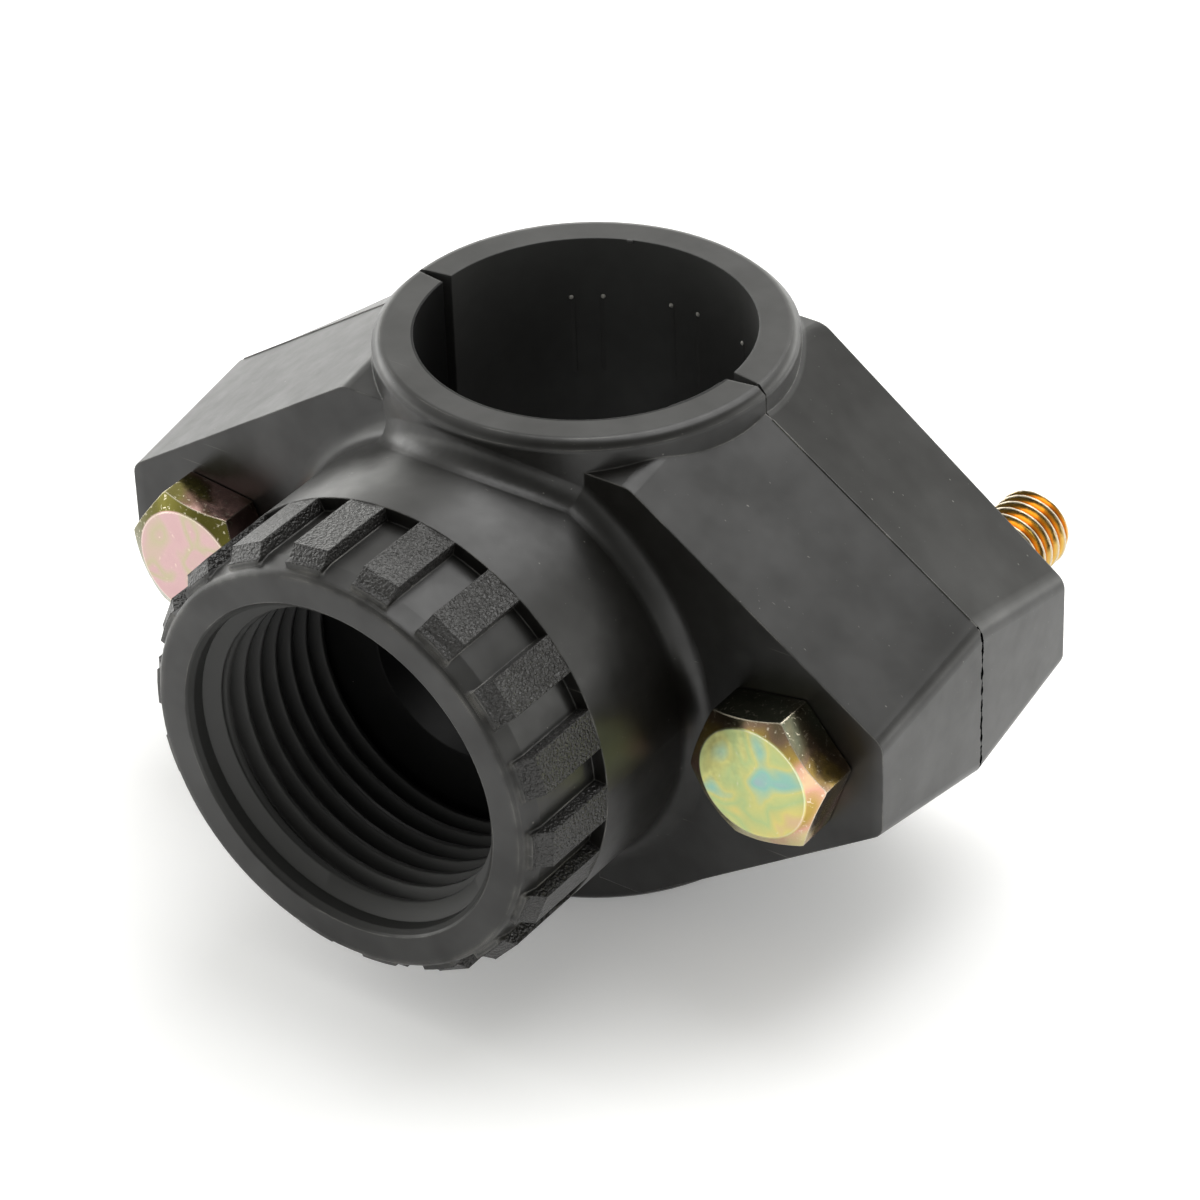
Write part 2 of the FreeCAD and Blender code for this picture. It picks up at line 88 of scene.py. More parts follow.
def linear(hex_colour: str) -> tuple[float, float, float, float]:
    """Turn an sRGB hex colour into linear RGBA.

    Args:
        hex_colour: six hex digits after a hash.

    Returns:
        Linear red, green, blue and full alpha.
    """
    parts = [int(hex_colour[at:at + 2], 16) / 255 for at in (1, 3, 5)]
    red, green, blue = (p / 12.92 if p <= 0.04045 else ((p + 0.055) / 1.055) ** 2.4 for p in parts)
    return red, green, blue, 1.0


def feed(node: Node, inputs: dict[str | int, Value]) -> None:
    """Set or link a node's inputs.

    Args:
        node: the node.
        inputs: socket names or numbers, each with a value, an output socket that feeds it, or a
            node whose first output does.
    """
    for key, value in inputs.items():
        if isinstance(value, Node):
            value = value.outputs[0]
        if isinstance(value, Socket):
            node.id_data.links.new(value, node.inputs[key])
        else:
            node.inputs[key].default_value = value


def add_node(tree: bpy.types.NodeTree, kind: str, inputs: dict[str | int, Value] | None = None,
             **settings: Value) -> Node:
    """Add one node to a shader, world or geometry tree.

    Args:
        tree: the tree that gets the node.
        kind: the node's type name.
        inputs: what feeds its sockets.
        **settings: the node's own properties.

    Returns:
        The new node.
    """
    node = tree.nodes.new(kind)
    for name, value in settings.items():
        setattr(node, name, value)
    feed(node, inputs or {})
    return node


def set_ramp(node: Node, stops: Iterable[tuple[float, str]]) -> None:
    """Give a colour ramp its stops.

    Args:
        node: the Color Ramp node.
        stops: places from 0 to 1, each with an sRGB hex colour.
    """
    elements = node.color_ramp.elements
    places = list(stops)
    while len(elements) < len(places):
        elements.new(0.5)
    for element, (place, colour) in zip(elements, places):
        element.position = place
        element.color = linear(colour)


def start_finish(name: str) -> tuple[Material, Adder, Node, Socket]:
    """Make a material with nodes.

    Args:
        name: the finish's name.

    Returns:
        The material, what adds a node to it, its shader and its Object coordinates.
    """
    material = bpy.data.materials.new(name)
    material.use_nodes = True
    add = partial(add_node, material.node_tree)
    return material, add, material.node_tree.nodes["Principled BSDF"], add("ShaderNodeTexCoord").outputs["Object"]


# Finishes


class MouldZone(Enum):
    """Which mould the plastic came out of."""

    FRONT = "front half, with the spark-eroded insert round the outlet"
    BACK = "back half"
    THREAD = "unscrewing core of the outlet"
    # Painted highlight: this zone paints the rounded ends of the grip ribs pale, standing for the highlight dots on
    # them; no core whitened them
    HIGHLIGHTED_ENDS = "ends of the grip ribs, whitened where the core dragged over them"


@dataclass(frozen=True)
class Spot:
    """Where a shaded point lies on a moulding, as sockets, with what adds a node to its material."""

    add: Adder
    place: Socket
    x: Socket
    y: Socket
    z: Socket
    out: Node
    off: Node
    from_pipe: Socket
    from_outlet: Socket


@dataclass(frozen=True)
class MouldedPolypropylene:
    """Injection-moulded black polypropylene.

    A mirror-finished mould gives the outside a near-black body with a soft, cloudy sheen, slight
    sink marks, edges painted pale in patches as painted highlight lines, and a few hairline
    scratches. The mould insert round the outlet was spark eroded, so the ribs are grainy like
    leather and glint. The cores leave the bores dull; their grey is painted lighter to lift the
    shade in them, and fades to near black as painted shade deeper in the outlet and over the
    front half's bore.
    """

    name: str
    zone: MouldZone
    colour: str = "#131210"
    # Pale colour of the edges, painted in patches as painted highlight lines, and of the hairline scratches
    highlight_and_scratch_colour: str = "#8a8882"
    grain_colour: str = "#262524"
    # Pale colour of the grip rib ends, a painted highlight
    painted_highlight_colour: str = "#a8a6a0"
    # Grey of the dull cored faces, painted lighter than their own to lift the shade in the bores, and the near
    # black of painted shade deeper in the outlet and in the front half's bore
    core_colour: str = "#30302f"
    painted_shade_colour: str = "#0a0a0a"
    dust_colour: str = "#8c8a86"
    crack_colour: str = "#020202"
    # Roughness stays above 0.285 everywhere, so that no finish crosses the denoiser's limit
    roughness: float = 0.30
    grain_roughness: float = 0.3
    core_roughness: float = 0.58
    dust_share: float = 0.06
    dull_share: float = 0.56
    core_share: float = 0.35
    # Sheen of the lug ends: partly their own shine, partly raised to brighten them as a painted reflection
    end_sheen_level: float = 0.68
    edge_radius_mm: float = 0.22
    mouth_radius_mm: float = 0.9
    mouth_edge_mm: float = 39.2
    mouth_from_mm: float = 18.65
    mouth_to_mm: float = 19.45
    rim_radius_mm: float = 1.2
    collar_radius_mm: float = 20.0
    collar_end_mm: float = 26.1
    bore_radius_mm: float = 16.3
    gap_end_mm: float = 20.45
    half_gap_mm: float = 0.68
    outlet_core_mm: float = 17.3
    outlet_mouth_mm: float = 37.5
    outlet_depth_mm: float = 28.5
    rib_root_mm: float = 21.25
    rib_start_mm: float = 30.05
    lug_end_mm: float = 42.7
    crack_least_mm: float = 0.03
    crack_most_mm: float = 0.24
    cloud_mm: float = 8.0
    sink_mm: float = 9.0
    patch_mm: float = 4.0
    smear_mm: float = 2.6
    dust_mm: float = 3.2
    flash_mm: float = 0.9
    peel_mm: float = 0.7
    grit_mm: float = 0.3
    # Scratches are 17 mm long and a third of a millimetre wide, coarser than real so that they show
    scratch_scale: Point = (60, 3000, 3000)

    def build(self) -> Material:
        """Make the material.

        Returns:
            The material.
        """
        material, add, shader, place = start_finish(self.name)
        x, y, z = add("ShaderNodeSeparateXYZ", {"Vector": place}).outputs
        distances = []
        for axis, other in (("Y", y), ("Z", z)):
            across = add("ShaderNodeCombineXYZ", {"X": x, axis: other})
            distances.append(add("ShaderNodeVectorMath", {0: across}, operation="LENGTH").outputs["Value"])
        out, off = (add("ShaderNodeMath", {0: side}, operation="ABSOLUTE") for side in (x, y))
        spot = Spot(add, place, x, y, z, out, off, *distances)
        grainy = self.grainy(spot)
        cored = self.cored(spot)
        rounded = self.rounded(spot)
        crack = self.crack(spot)
        smear = add("ShaderNodeTexNoise",
                    {"Vector": place, "Scale": 1 / (self.smear_mm * MM), "Detail": 4.0, "Roughness": 0.6})
        # Painted shade: on the front half and its thread, cored faces go from the core grey at the outlet's mouth
        # to near black deeper in, which also darkens the whole bore and gap faces of the front half; the back half
        # keeps the grey
        painted_shade_share = add("ShaderNodeMapRange",
                   {"Value": y, "From Min": -self.outlet_mouth_mm * MM, "From Max": -self.outlet_depth_mm * MM,
                    "To Max": float(self.zone is not MouldZone.BACK)})
        inside = add("ShaderNodeMix", {"Factor": painted_shade_share, 6: linear(self.core_colour), 7: linear(self.painted_shade_colour)},
                     data_type="RGBA").outputs[2]
        # The grip rib ends start from the pale colour of a painted highlight
        colour = linear(self.painted_highlight_colour if self.zone is MouldZone.HIGHLIGHTED_ENDS else self.colour)
        # The pale edges are painted highlight lines; the scratches are real
        for share, other in ((self.edge_highlight_and_scratches(spot, rounded), linear(self.highlight_and_scratch_colour)), (cored, inside),
                             (grainy, linear(self.grain_colour)), (self.dust(spot), linear(self.dust_colour)),
                             (crack, linear(self.crack_colour))):
            colour = add("ShaderNodeMix", {"Factor": share, 6: colour, 7: other}, data_type="RGBA").outputs[2]
        low, high = self.roughness - 0.015, self.roughness + 0.08
        if self.zone is MouldZone.THREAD:
            low, high = self.core_roughness, self.core_roughness + 0.05
        gloss = add("ShaderNodeMapRange",
                    {"Value": smear, "From Min": 0.3, "From Max": 0.7, "To Min": low, "To Max": high})
        dull = add("ShaderNodeMix", {"Factor": cored, 2: gloss, 3: self.core_roughness})
        rough = add("ShaderNodeMix", {"Factor": grainy, 2: dull, 3: self.grain_roughness})
        if self.zone in (MouldZone.FRONT, MouldZone.BACK):
            feed(shader, {"Specular IOR Level": self.shine(spot, cored, crack)})
        feed(shader, {"Base Color": colour, "Roughness": rough, "IOR": 1.49,
                      "Normal": self.relief(spot, grainy, smear, rounded)})
        return material

    def grainy(self, spot: Spot) -> Node:
        """Find the ribs of the outlet, which the eroded insert made.

        Args:
            spot: place on the moulding.

        Returns:
            Share of 1 on the ribs, and 0 elsewhere.
        """
        high = spot.add("ShaderNodeMapRange", {"Value": spot.from_outlet, "From Min": self.rib_root_mm * MM,
                                               "From Max": (self.rib_root_mm + 0.1) * MM})
        ahead = spot.add("ShaderNodeMath", {0: spot.y, 1: -self.rib_start_mm * MM}, operation="LESS_THAN")
        both = spot.add("ShaderNodeMath", {0: high, 1: ahead}, operation="MULTIPLY")
        share = 1.0 if self.zone is MouldZone.FRONT else 0.0
        return spot.add("ShaderNodeMath", {0: both, 1: share}, operation="MULTIPLY")

    def cored(self, spot: Spot) -> Node:
        """Find the pipe's bore, the collar's gap and the outlet, where the mould's cores were.

        Args:
            spot: place on the moulding.

        Returns:
            Share of 1 there, and 0 elsewhere.
        """
        bore = 0.0 if self.zone is MouldZone.HIGHLIGHTED_ENDS else self.bore_radius_mm * MM
        outlet = self.outlet_core_mm * MM if self.zone in (MouldZone.FRONT, MouldZone.THREAD) else 0.0
        gap = spot.add("ShaderNodeMapRange",
                       {"Value": spot.out, "From Min": self.bore_radius_mm * MM, "From Max": self.gap_end_mm * MM,
                        "To Min": self.half_gap_mm * MM, "To Max": 0.0})
        in_bore, in_outlet, in_gap = (
            spot.add("ShaderNodeMath", {0: distance, 1: limit}, operation="LESS_THAN")
            for distance, limit in ((spot.from_pipe, bore), (spot.from_outlet, outlet), (spot.off, gap)))
        share = spot.add("ShaderNodeMath", {0: in_bore, 1: in_outlet}, operation="MAXIMUM")
        return spot.add("ShaderNodeMath", {0: share, 1: in_gap}, operation="MAXIMUM")

    def rounded(self, spot: Spot) -> Node:
        """Round the small edges, and the outer edge of the outlet's mouth more.

        Args:
            spot: place on the moulding.

        Returns:
            The normal.
        """
        ahead = spot.add("ShaderNodeMapRange", {"Value": spot.y, "From Min": -self.mouth_edge_mm * MM,
                                                "From Max": -(self.mouth_edge_mm + 1.0) * MM})
        outer = spot.add("ShaderNodeMapRange",
                         {"Value": spot.from_outlet, "From Min": self.mouth_from_mm * MM,
                          "From Max": self.mouth_to_mm * MM, "To Min": self.edge_radius_mm * MM,
                          "To Max": self.mouth_radius_mm * MM})
        radius = spot.add("ShaderNodeMix", {"Factor": ahead, 2: self.edge_radius_mm * MM, 3: outer})
        return spot.add("ShaderNodeBevel", {"Radius": radius}, samples=4)

    def edge_highlight_and_scratches(self, spot: Spot, rounded: Node) -> Node:
        """Find the edges, painted pale in patches as painted highlight lines, and hairline scratches.

        Args:
            spot: place on the moulding.
            rounded: normal with its edges rounded.

        Returns:
            Share of the pale colour that wear leaves.
        """
        facing = spot.add("ShaderNodeNewGeometry").outputs["Normal"]
        turned = spot.add("ShaderNodeVectorMath", {0: rounded, 1: facing}, operation="DOT_PRODUCT")
        # Painted highlight: the rounded edges get the pale colour, in patches, to stand for the light lines along
        # them
        edge = spot.add("ShaderNodeMapRange",
                        {"Value": turned.outputs["Value"], "From Min": 0.96, "From Max": 0.84, "To Max": 0.8})
        patches = spot.add("ShaderNodeTexNoise",
                           {"Vector": spot.place, "Scale": 1 / (self.patch_mm * MM), "Detail": 4.0})
        patchy_highlight = spot.add("ShaderNodeMapRange",
                           {"Value": patches, "From Min": 0.42, "From Max": 0.62, "To Min": 0.08})
        share = spot.add("ShaderNodeMath", {0: edge, 1: patchy_highlight}, operation="MULTIPLY")
        for turn, seed in ((0.5, 1.3), (-0.9, 4.1)):
            laid = spot.add("ShaderNodeMapping", {"Vector": spot.place, "Location": (seed, seed, seed),
                                                  "Rotation": (turn, turn / 2, turn), "Scale": self.scratch_scale})
            noise = spot.add("ShaderNodeTexNoise", {"Vector": laid, "Scale": 1.0, "Detail": 1.0})
            line = spot.add("ShaderNodeMapRange",
                            {"Value": noise, "From Min": 0.78, "From Max": 0.84, "To Max": 0.5})
            share = spot.add("ShaderNodeMath", {0: share, 1: line}, operation="MAXIMUM")
        return share

    def dust(self, spot: Spot) -> Node:
        """Scatter specks, a tenth of a millimetre wide.

        Args:
            spot: place on the moulding.

        Returns:
            Share of 1 on the specks.
        """
        cells = spot.add("ShaderNodeTexVoronoi", {"Vector": spot.place, "Scale": 1 / (self.dust_mm * MM)})
        near = spot.add("ShaderNodeMath", {0: cells.outputs["Distance"], 1: 0.028}, operation="LESS_THAN")
        pick = spot.add("ShaderNodeSeparateXYZ", {"Vector": cells.outputs["Color"]})
        rare = spot.add("ShaderNodeMath", {0: pick, 1: self.dust_share}, operation="LESS_THAN")
        return spot.add("ShaderNodeMath", {0: near, 1: rare}, operation="MULTIPLY")

    def crack(self, spot: Spot) -> Node:
        """Find the dark open joint on the lug ends, bridged by bits of flash.

        Args:
            spot: place on the moulding.

        Returns:
            Share of 1 in the joint.
        """
        along = spot.add("ShaderNodeTexNoise",
                         {"Vector": spot.place, "Scale": 1 / (self.flash_mm * MM), "Detail": 3.0})
        half_width = spot.add("ShaderNodeMapRange",
                              {"Value": along, "From Min": 0.38, "From Max": 0.62,
                               "To Min": self.crack_least_mm * MM, "To Max": self.crack_most_mm * MM})
        inside = spot.add("ShaderNodeMath", {0: spot.off, 1: half_width}, operation="LESS_THAN")
        at_end = spot.add("ShaderNodeMath", {0: spot.out, 1: self.lug_end_mm * MM}, operation="GREATER_THAN")
        return spot.add("ShaderNodeMath", {0: inside, 1: at_end}, operation="MULTIPLY")

    def shine(self, spot: Spot, cored: Node, crack: Node) -> Node:
        """Make the sheen cloudy, high on the lug ends, which are shinier and get more sheen as a painted
        reflection, and low on the back half and on cored faces.

        Args:
            spot: place on the moulding.
            cored: share of the cores.
            crack: share of the open joint, which has none.

        Returns:
            The specular level.
        """
        if self.zone is MouldZone.BACK:
            limit = self.collar_radius_mm + 0.3
            level = spot.add("ShaderNodeMapRange",
                             {"Value": spot.from_pipe, "From Min": limit * MM, "From Max": (limit + 0.2) * MM,
                              "To Min": 0.5, "To Max": 0.5 * self.dull_share})
        else:
            level = spot.add("ShaderNodeMix", {"Factor": cored, 2: 0.5, 3: 0.5 * self.core_share})
        # Painted reflection: the lug ends' sheen is raised past their own shine to brighten them
        end_sheen_share = spot.add("ShaderNodeMapRange", {"Value": spot.out, "From Min": (self.lug_end_mm - 0.9) * MM,
                                                   "From Max": self.lug_end_mm * MM})
        level = spot.add("ShaderNodeMix", {"Factor": end_sheen_share, 2: level, 3: self.end_sheen_level})
        cloud = spot.add("ShaderNodeTexNoise", {"Vector": spot.place, "Scale": 1 / (self.cloud_mm * MM),
                                                "Detail": 3.0, "Roughness": 0.6})
        cloudy = spot.add("ShaderNodeMapRange",
                          {"Value": cloud, "From Min": 0.35, "From Max": 0.65, "To Min": 0.8, "To Max": 1.15})
        level = spot.add("ShaderNodeMath", {0: level, 1: cloudy}, operation="MULTIPLY")
        closed = spot.add("ShaderNodeMath", {0: 1.0, 1: crack}, operation="SUBTRACT")
        return spot.add("ShaderNodeMath", {0: level, 1: closed}, operation="MULTIPLY")

    def relief(self, spot: Spot, grainy: Node, smear: Node, rounded: Node) -> Node:
        """Lay sink marks, orange peel and the eroded grain over the rounded edges.

        Args:
            spot: place on the moulding.
            grainy: share of the grain.
            smear: middle-sized noise.
            rounded: normal with its edges rounded.

        Returns:
            The last bump node.
        """
        normal = self.rolled_rim(spot, rounded)
        # Each wave: its size, detail, depth, share and strength
        for size, detail, depth, share, strength in (
                (self.sink_mm, 1.0, 0.05, 1.0, 1.0),
                (self.peel_mm, 1.5, 0.0035, 1.0, 0.6),
                (self.grit_mm, 1.5, 0.32, grainy, 1.0)):
            wave = spot.add("ShaderNodeTexNoise",
                            {"Vector": spot.place, "Scale": 1 / (size * MM), "Detail": detail, "Distortion": 0.4})
            force = spot.add("ShaderNodeMath", {0: share, 1: strength}, operation="MULTIPLY")
            normal = spot.add("ShaderNodeBump",
                              {"Strength": force, "Distance": depth * MM, "Height": wave, "Normal": normal})
        return spot.add("ShaderNodeBump",
                        {"Strength": 0.4, "Distance": 0.004 * MM, "Height": smear, "Normal": normal})

    def rolled_rim(self, spot: Spot, rounded: Node) -> Socket:
        """Shade the collar's chamfered rim as the full rounding that the moulding has.

        Args:
            spot: place on the moulding.
            rounded: normal used everywhere else.

        Returns:
            The normal.
        """
        known = {"pipe": spot.from_pipe, "z": spot.z}
        # Each step: its name, what is done, and its one or two values
        for name, operation, *values in (
                ("out", "SUBTRACT", "pipe", (self.collar_radius_mm - self.rim_radius_mm) * MM),
                ("height", "ABSOLUTE", "z"),
                ("up", "SUBTRACT", "height", (self.collar_end_mm - self.rim_radius_mm) * MM),
                ("side", "SIGN", "z"),
                ("share", "DIVIDE", "out", "pipe"),
                ("upward", "MULTIPLY", "up", "side"),
                ("lower", "MINIMUM", "out", "up"),
                ("left", "SUBTRACT", (self.collar_radius_mm + 0.03) * MM, "pipe"),
                ("least", "MINIMUM", "lower", "left"),
                ("on_rim", "GREATER_THAN", "least", 0.0)):
            inputs = {index: known.get(value, value) for index, value in enumerate(values)}
            known[name] = spot.add("ShaderNodeMath", inputs, operation=operation)
        level = spot.add("ShaderNodeCombineXYZ", {"X": spot.x, "Y": spot.y})
        outward = spot.add("ShaderNodeVectorMath", {0: level, "Scale": known["share"]}, operation="SCALE")
        upward = spot.add("ShaderNodeCombineXYZ", {"Z": known["upward"]})
        arc = spot.add("ShaderNodeVectorMath", {0: outward, 1: upward}, operation="ADD")
        arc = spot.add("ShaderNodeVectorTransform", {0: arc}, vector_type="NORMAL", convert_from="OBJECT",
                       convert_to="WORLD")
        arc = spot.add("ShaderNodeVectorMath", {0: arc}, operation="NORMALIZE")
        return spot.add("ShaderNodeMix", {"Factor": known["on_rim"], 4: rounded, 5: arc},
                        data_type="VECTOR").outputs[1]


@dataclass(frozen=True)
class SealRubber:
    """Moulded black rubber, dull and slightly bloomed, so its black is cloudy and never shines."""

    name: str = "moulded_seal_rubber"
    colour: str = "#121212"
    bloom_colour: str = "#1e1e1d"
    roughness: float = 0.7
    bloom_mm: float = 2.0

    def build(self) -> Material:
        """Make the material.

        Returns:
            The material.
        """
        material, add, shader, place = start_finish(self.name)
        bloom = add("ShaderNodeTexNoise", {"Vector": place, "Scale": 1 / (self.bloom_mm * MM), "Detail": 5.0})
        tint = add("ShaderNodeMix", {"Factor": bloom, 6: linear(self.colour), 7: linear(self.bloom_colour)},
                   data_type="RGBA").outputs[2]
        bump = add("ShaderNodeBump", {"Strength": 0.4, "Distance": 0.02 * MM, "Height": bloom})
        feed(shader, {"Base Color": tint, "Normal": bump, "Roughness": self.roughness})
        return material


@dataclass(frozen=True)
class Film:
    """Chromate film of one bolt head: its colours from thin to thick, where it is thicker, and a shift of its
    colours on the chamfer, which on the left bolt is a painted reflection.
    """

    face: Stops
    flank: Stops
    fall: float
    # Shift of the flank colours on the chamfer; the left bolt's negative shift paints a dark reflection there
    chamfer: float


@dataclass(frozen=True)
class YellowZinc:
    """Cold-headed steel, zinc plated and yellow chromated.

    The thin chromate film shows interference colours: broad pastel clouds on the head's face,
    olive, brown and gold on its flats, copper and gold between the threads. Edges are rubbed
    bright, and the flats carry small nicks from the box that the bolts were shipped in.
    """

    name: str
    centre_mm: Point
    film: Film
    thread: Stops = ((0.0, "#9c5a38"), (0.35, "#d3913f"), (0.7, "#e6bd62"), (1.0, "#b5a78f"))
    rubbed_colour: str = "#efe5d0"
    face_radius_mm: float = 5.7
    half_head_mm: float = 7.0
    root_radius_mm: float = 3.2
    crest_radius_mm: float = 3.95
    edge_radius_mm: float = 0.2
    cloud_mm: float = 6.5
    dent_mm: float = 2.2
    haze_mm: float = 0.5
    nick_mm: float = 0.45
    roughness: float = 0.2

    def build(self) -> Material:
        """Make the material.

        Returns:
            The material.
        """
        material, add, shader, place = start_finish(self.name)
        local = add("ShaderNodeVectorMath", {0: place, 1: tuple(c * MM for c in self.centre_mm)},
                    operation="SUBTRACT")
        x, y, z = add("ShaderNodeSeparateXYZ", {"Vector": local}).outputs
        across = add("ShaderNodeCombineXYZ", {"X": x, "Z": z})
        radius = add("ShaderNodeVectorMath", {0: across}, operation="LENGTH").outputs["Value"]
        cloud = add("ShaderNodeTexNoise",
                    {"Vector": local, "Scale": 1 / (self.cloud_mm * MM), "Detail": 2.0, "Distortion": 0.4})
        lift = add("ShaderNodeMapRange",
                   {"Value": z, "From Min": -self.half_head_mm * MM, "From Max": self.half_head_mm * MM,
                    "To Min": self.film.fall, "To Max": -self.film.fall})
        tarnish = add("ShaderNodeMath", {0: cloud, 1: lift}, operation="ADD")
        # Painted reflection: the flank colours shift by which way the surface faces, so the left bolt's chamfer is
        # painted dark where it would mirror the dim room
        normal = add("ShaderNodeTexCoord").outputs["Normal"]
        facing = add("ShaderNodeSeparateXYZ", {"Vector": normal}).outputs["Y"]
        chamfer = add("ShaderNodeMapRange",
                      {"Value": facing, "From Min": -0.2, "From Max": -0.6, "To Max": self.film.chamfer})
        tarnish = add("ShaderNodeMath", {0: tarnish, 1: chamfer}, operation="ADD")
        depth = add("ShaderNodeMapRange", {"Value": radius, "From Min": self.root_radius_mm * MM,
                                           "From Max": self.crest_radius_mm * MM})
        tip = add("ShaderNodeMapRange", {"Value": facing, "From Min": 0.8, "From Max": 0.9, "To Max": 0.8})
        depth = add("ShaderNodeMath", {0: depth, 1: tip}, operation="MAXIMUM")
        colours = []
        for value, low, high, stops in ((cloud, 0.24, 0.78, self.film.face), (tarnish, 0.25, 0.8, self.film.flank),
                                        (depth, 0.0, 1.0, self.thread)):
            spread = add("ShaderNodeMapRange", {"Value": value, "From Min": low, "From Max": high})
            ramp = add("ShaderNodeValToRGB", {"Fac": spread})
            set_ramp(ramp, stops)
            colours.append(ramp.outputs["Color"])
        side = add("ShaderNodeMapRange", {"Value": radius, "From Min": self.face_radius_mm * MM,
                                          "From Max": (self.face_radius_mm + 0.15) * MM})
        behind = add("ShaderNodeMath", {0: y, 1: 0.0}, operation="GREATER_THAN")
        rounded = add("ShaderNodeBevel", {"Radius": self.edge_radius_mm * MM}, samples=4)
        rubbed = self.rubbed(add, local, side, rounded)
        colour = colours[0]
        for share, other in ((side, colours[1]), (behind, colours[2]), (rubbed, linear(self.rubbed_colour))):
            colour = add("ShaderNodeMix", {"Factor": share, 6: colour, 7: other}, data_type="RGBA").outputs[2]
        haze = add("ShaderNodeTexNoise", {"Vector": place, "Scale": 1 / (self.haze_mm * MM), "Detail": 4.0})
        rough = add("ShaderNodeMapRange", {"Value": haze, "From Min": 0.3, "From Max": 0.7,
                                           "To Min": self.roughness - 0.04, "To Max": self.roughness + 0.06})
        dents = add("ShaderNodeTexNoise", {"Vector": place, "Scale": 1 / (self.dent_mm * MM), "Detail": 2.0})
        bump = add("ShaderNodeBump", {"Strength": 0.5, "Distance": 0.05 * MM, "Height": dents, "Normal": rounded})
        feed(shader, {"Base Color": colour, "Roughness": rough, "Normal": bump, "Metallic": 1.0})
        return material

    def rubbed(self, add: Adder, local: Node, side: Node, rounded: Node) -> Node:
        """Find rubbed edges and nicks, which are rarer on the head's face.

        Args:
            add: what adds a node to the material.
            local: Object coordinates from the bolt's own seat.
            side: share of the flats.
            rounded: normal with its edges rounded.

        Returns:
            Share of the bright bare metal.
        """
        facing = add("ShaderNodeNewGeometry").outputs["Normal"]
        turned = add("ShaderNodeVectorMath", {0: rounded, 1: facing}, operation="DOT_PRODUCT")
        edge = add("ShaderNodeMapRange",
                   {"Value": turned.outputs["Value"], "From Min": 0.995, "From Max": 0.95, "To Max": 0.8})
        nicks = add("ShaderNodeTexNoise",
                    {"Vector": local, "Scale": 1 / (self.nick_mm * MM), "Detail": 2.0, "Distortion": 0.8})
        deeper = add("ShaderNodeMath", {0: side, 1: 0.07, 2: nicks}, operation="MULTIPLY_ADD")
        mark = add("ShaderNodeMapRange", {"Value": deeper, "From Min": 0.7, "From Max": 0.76, "To Max": 0.6})
        return add("ShaderNodeMath", {0: edge, 1: mark}, operation="MAXIMUM")


# Meshes


def stand(name: str, data: bpy.types.ID) -> Piece:
    """Put a new object into the scene.

    Args:
        name: its name.
        data: its mesh, lamp or camera.

    Returns:
        The object, at the origin.
    """
    piece = bpy.data.objects.new(name, data)
    bpy.context.scene.collection.objects.link(piece)
    return piece


def finish_mesh(name: str, build: Callable[[bmesh.types.BMesh], None], material: Material,
                smooth_angle: float = 35.0) -> Piece:
    """Make an object from a mesh that a function builds.

    Args:
        name: name of the piece.
        build: function that fills an empty mesh, in metres in the frame.
        material: the piece's material.
        smooth_angle: edges flatter than this angle, in degrees, are shaded smooth.

    Returns:
        The new object, at the origin.
    """
    mesh = bmesh.new()
    build(mesh)
    bmesh.ops.remove_doubles(mesh, verts=mesh.verts, dist=MERGE_MM * MM)
    bmesh.ops.dissolve_degenerate(mesh, edges=mesh.edges, dist=SHORT_MM * MM)
    bmesh.ops.recalc_face_normals(mesh, faces=mesh.faces)
    data = bpy.data.meshes.new(name)
    mesh.to_mesh(data)
    mesh.free()
    data.materials.clear()
    data.materials.append(material)
    data.shade_smooth()
    data.set_sharp_from_angle(angle=math.radians(smooth_angle))
    return stand(name, data)


def add_lathe(mesh: bmesh.types.BMesh, rings: list[list[Vector]]) -> None:
    """Skin a stack of closed rings, with its first and last ring filled to a point.

    Args:
        mesh: the mesh that gets the skin.
        rings: rings of points, each as long as the others, from one end to the other.
    """
    rows = [[mesh.verts.new(point) for point in ring] for ring in rings]
    count = len(rows[0])
    for low, high in zip(rows, rows[1:]):
        for index in range(count):
            after = (index + 1) % count
            mesh.faces.new((low[index], low[after], high[after], high[index]))
    for row in (rows[0], rows[-1]):
        centre = mesh.verts.new(sum((vert.co for vert in row), Vector()) / count)
        for index in range(count):
            mesh.faces.new((row[index], row[(index + 1) % count], centre))


# Geometry Nodes trees


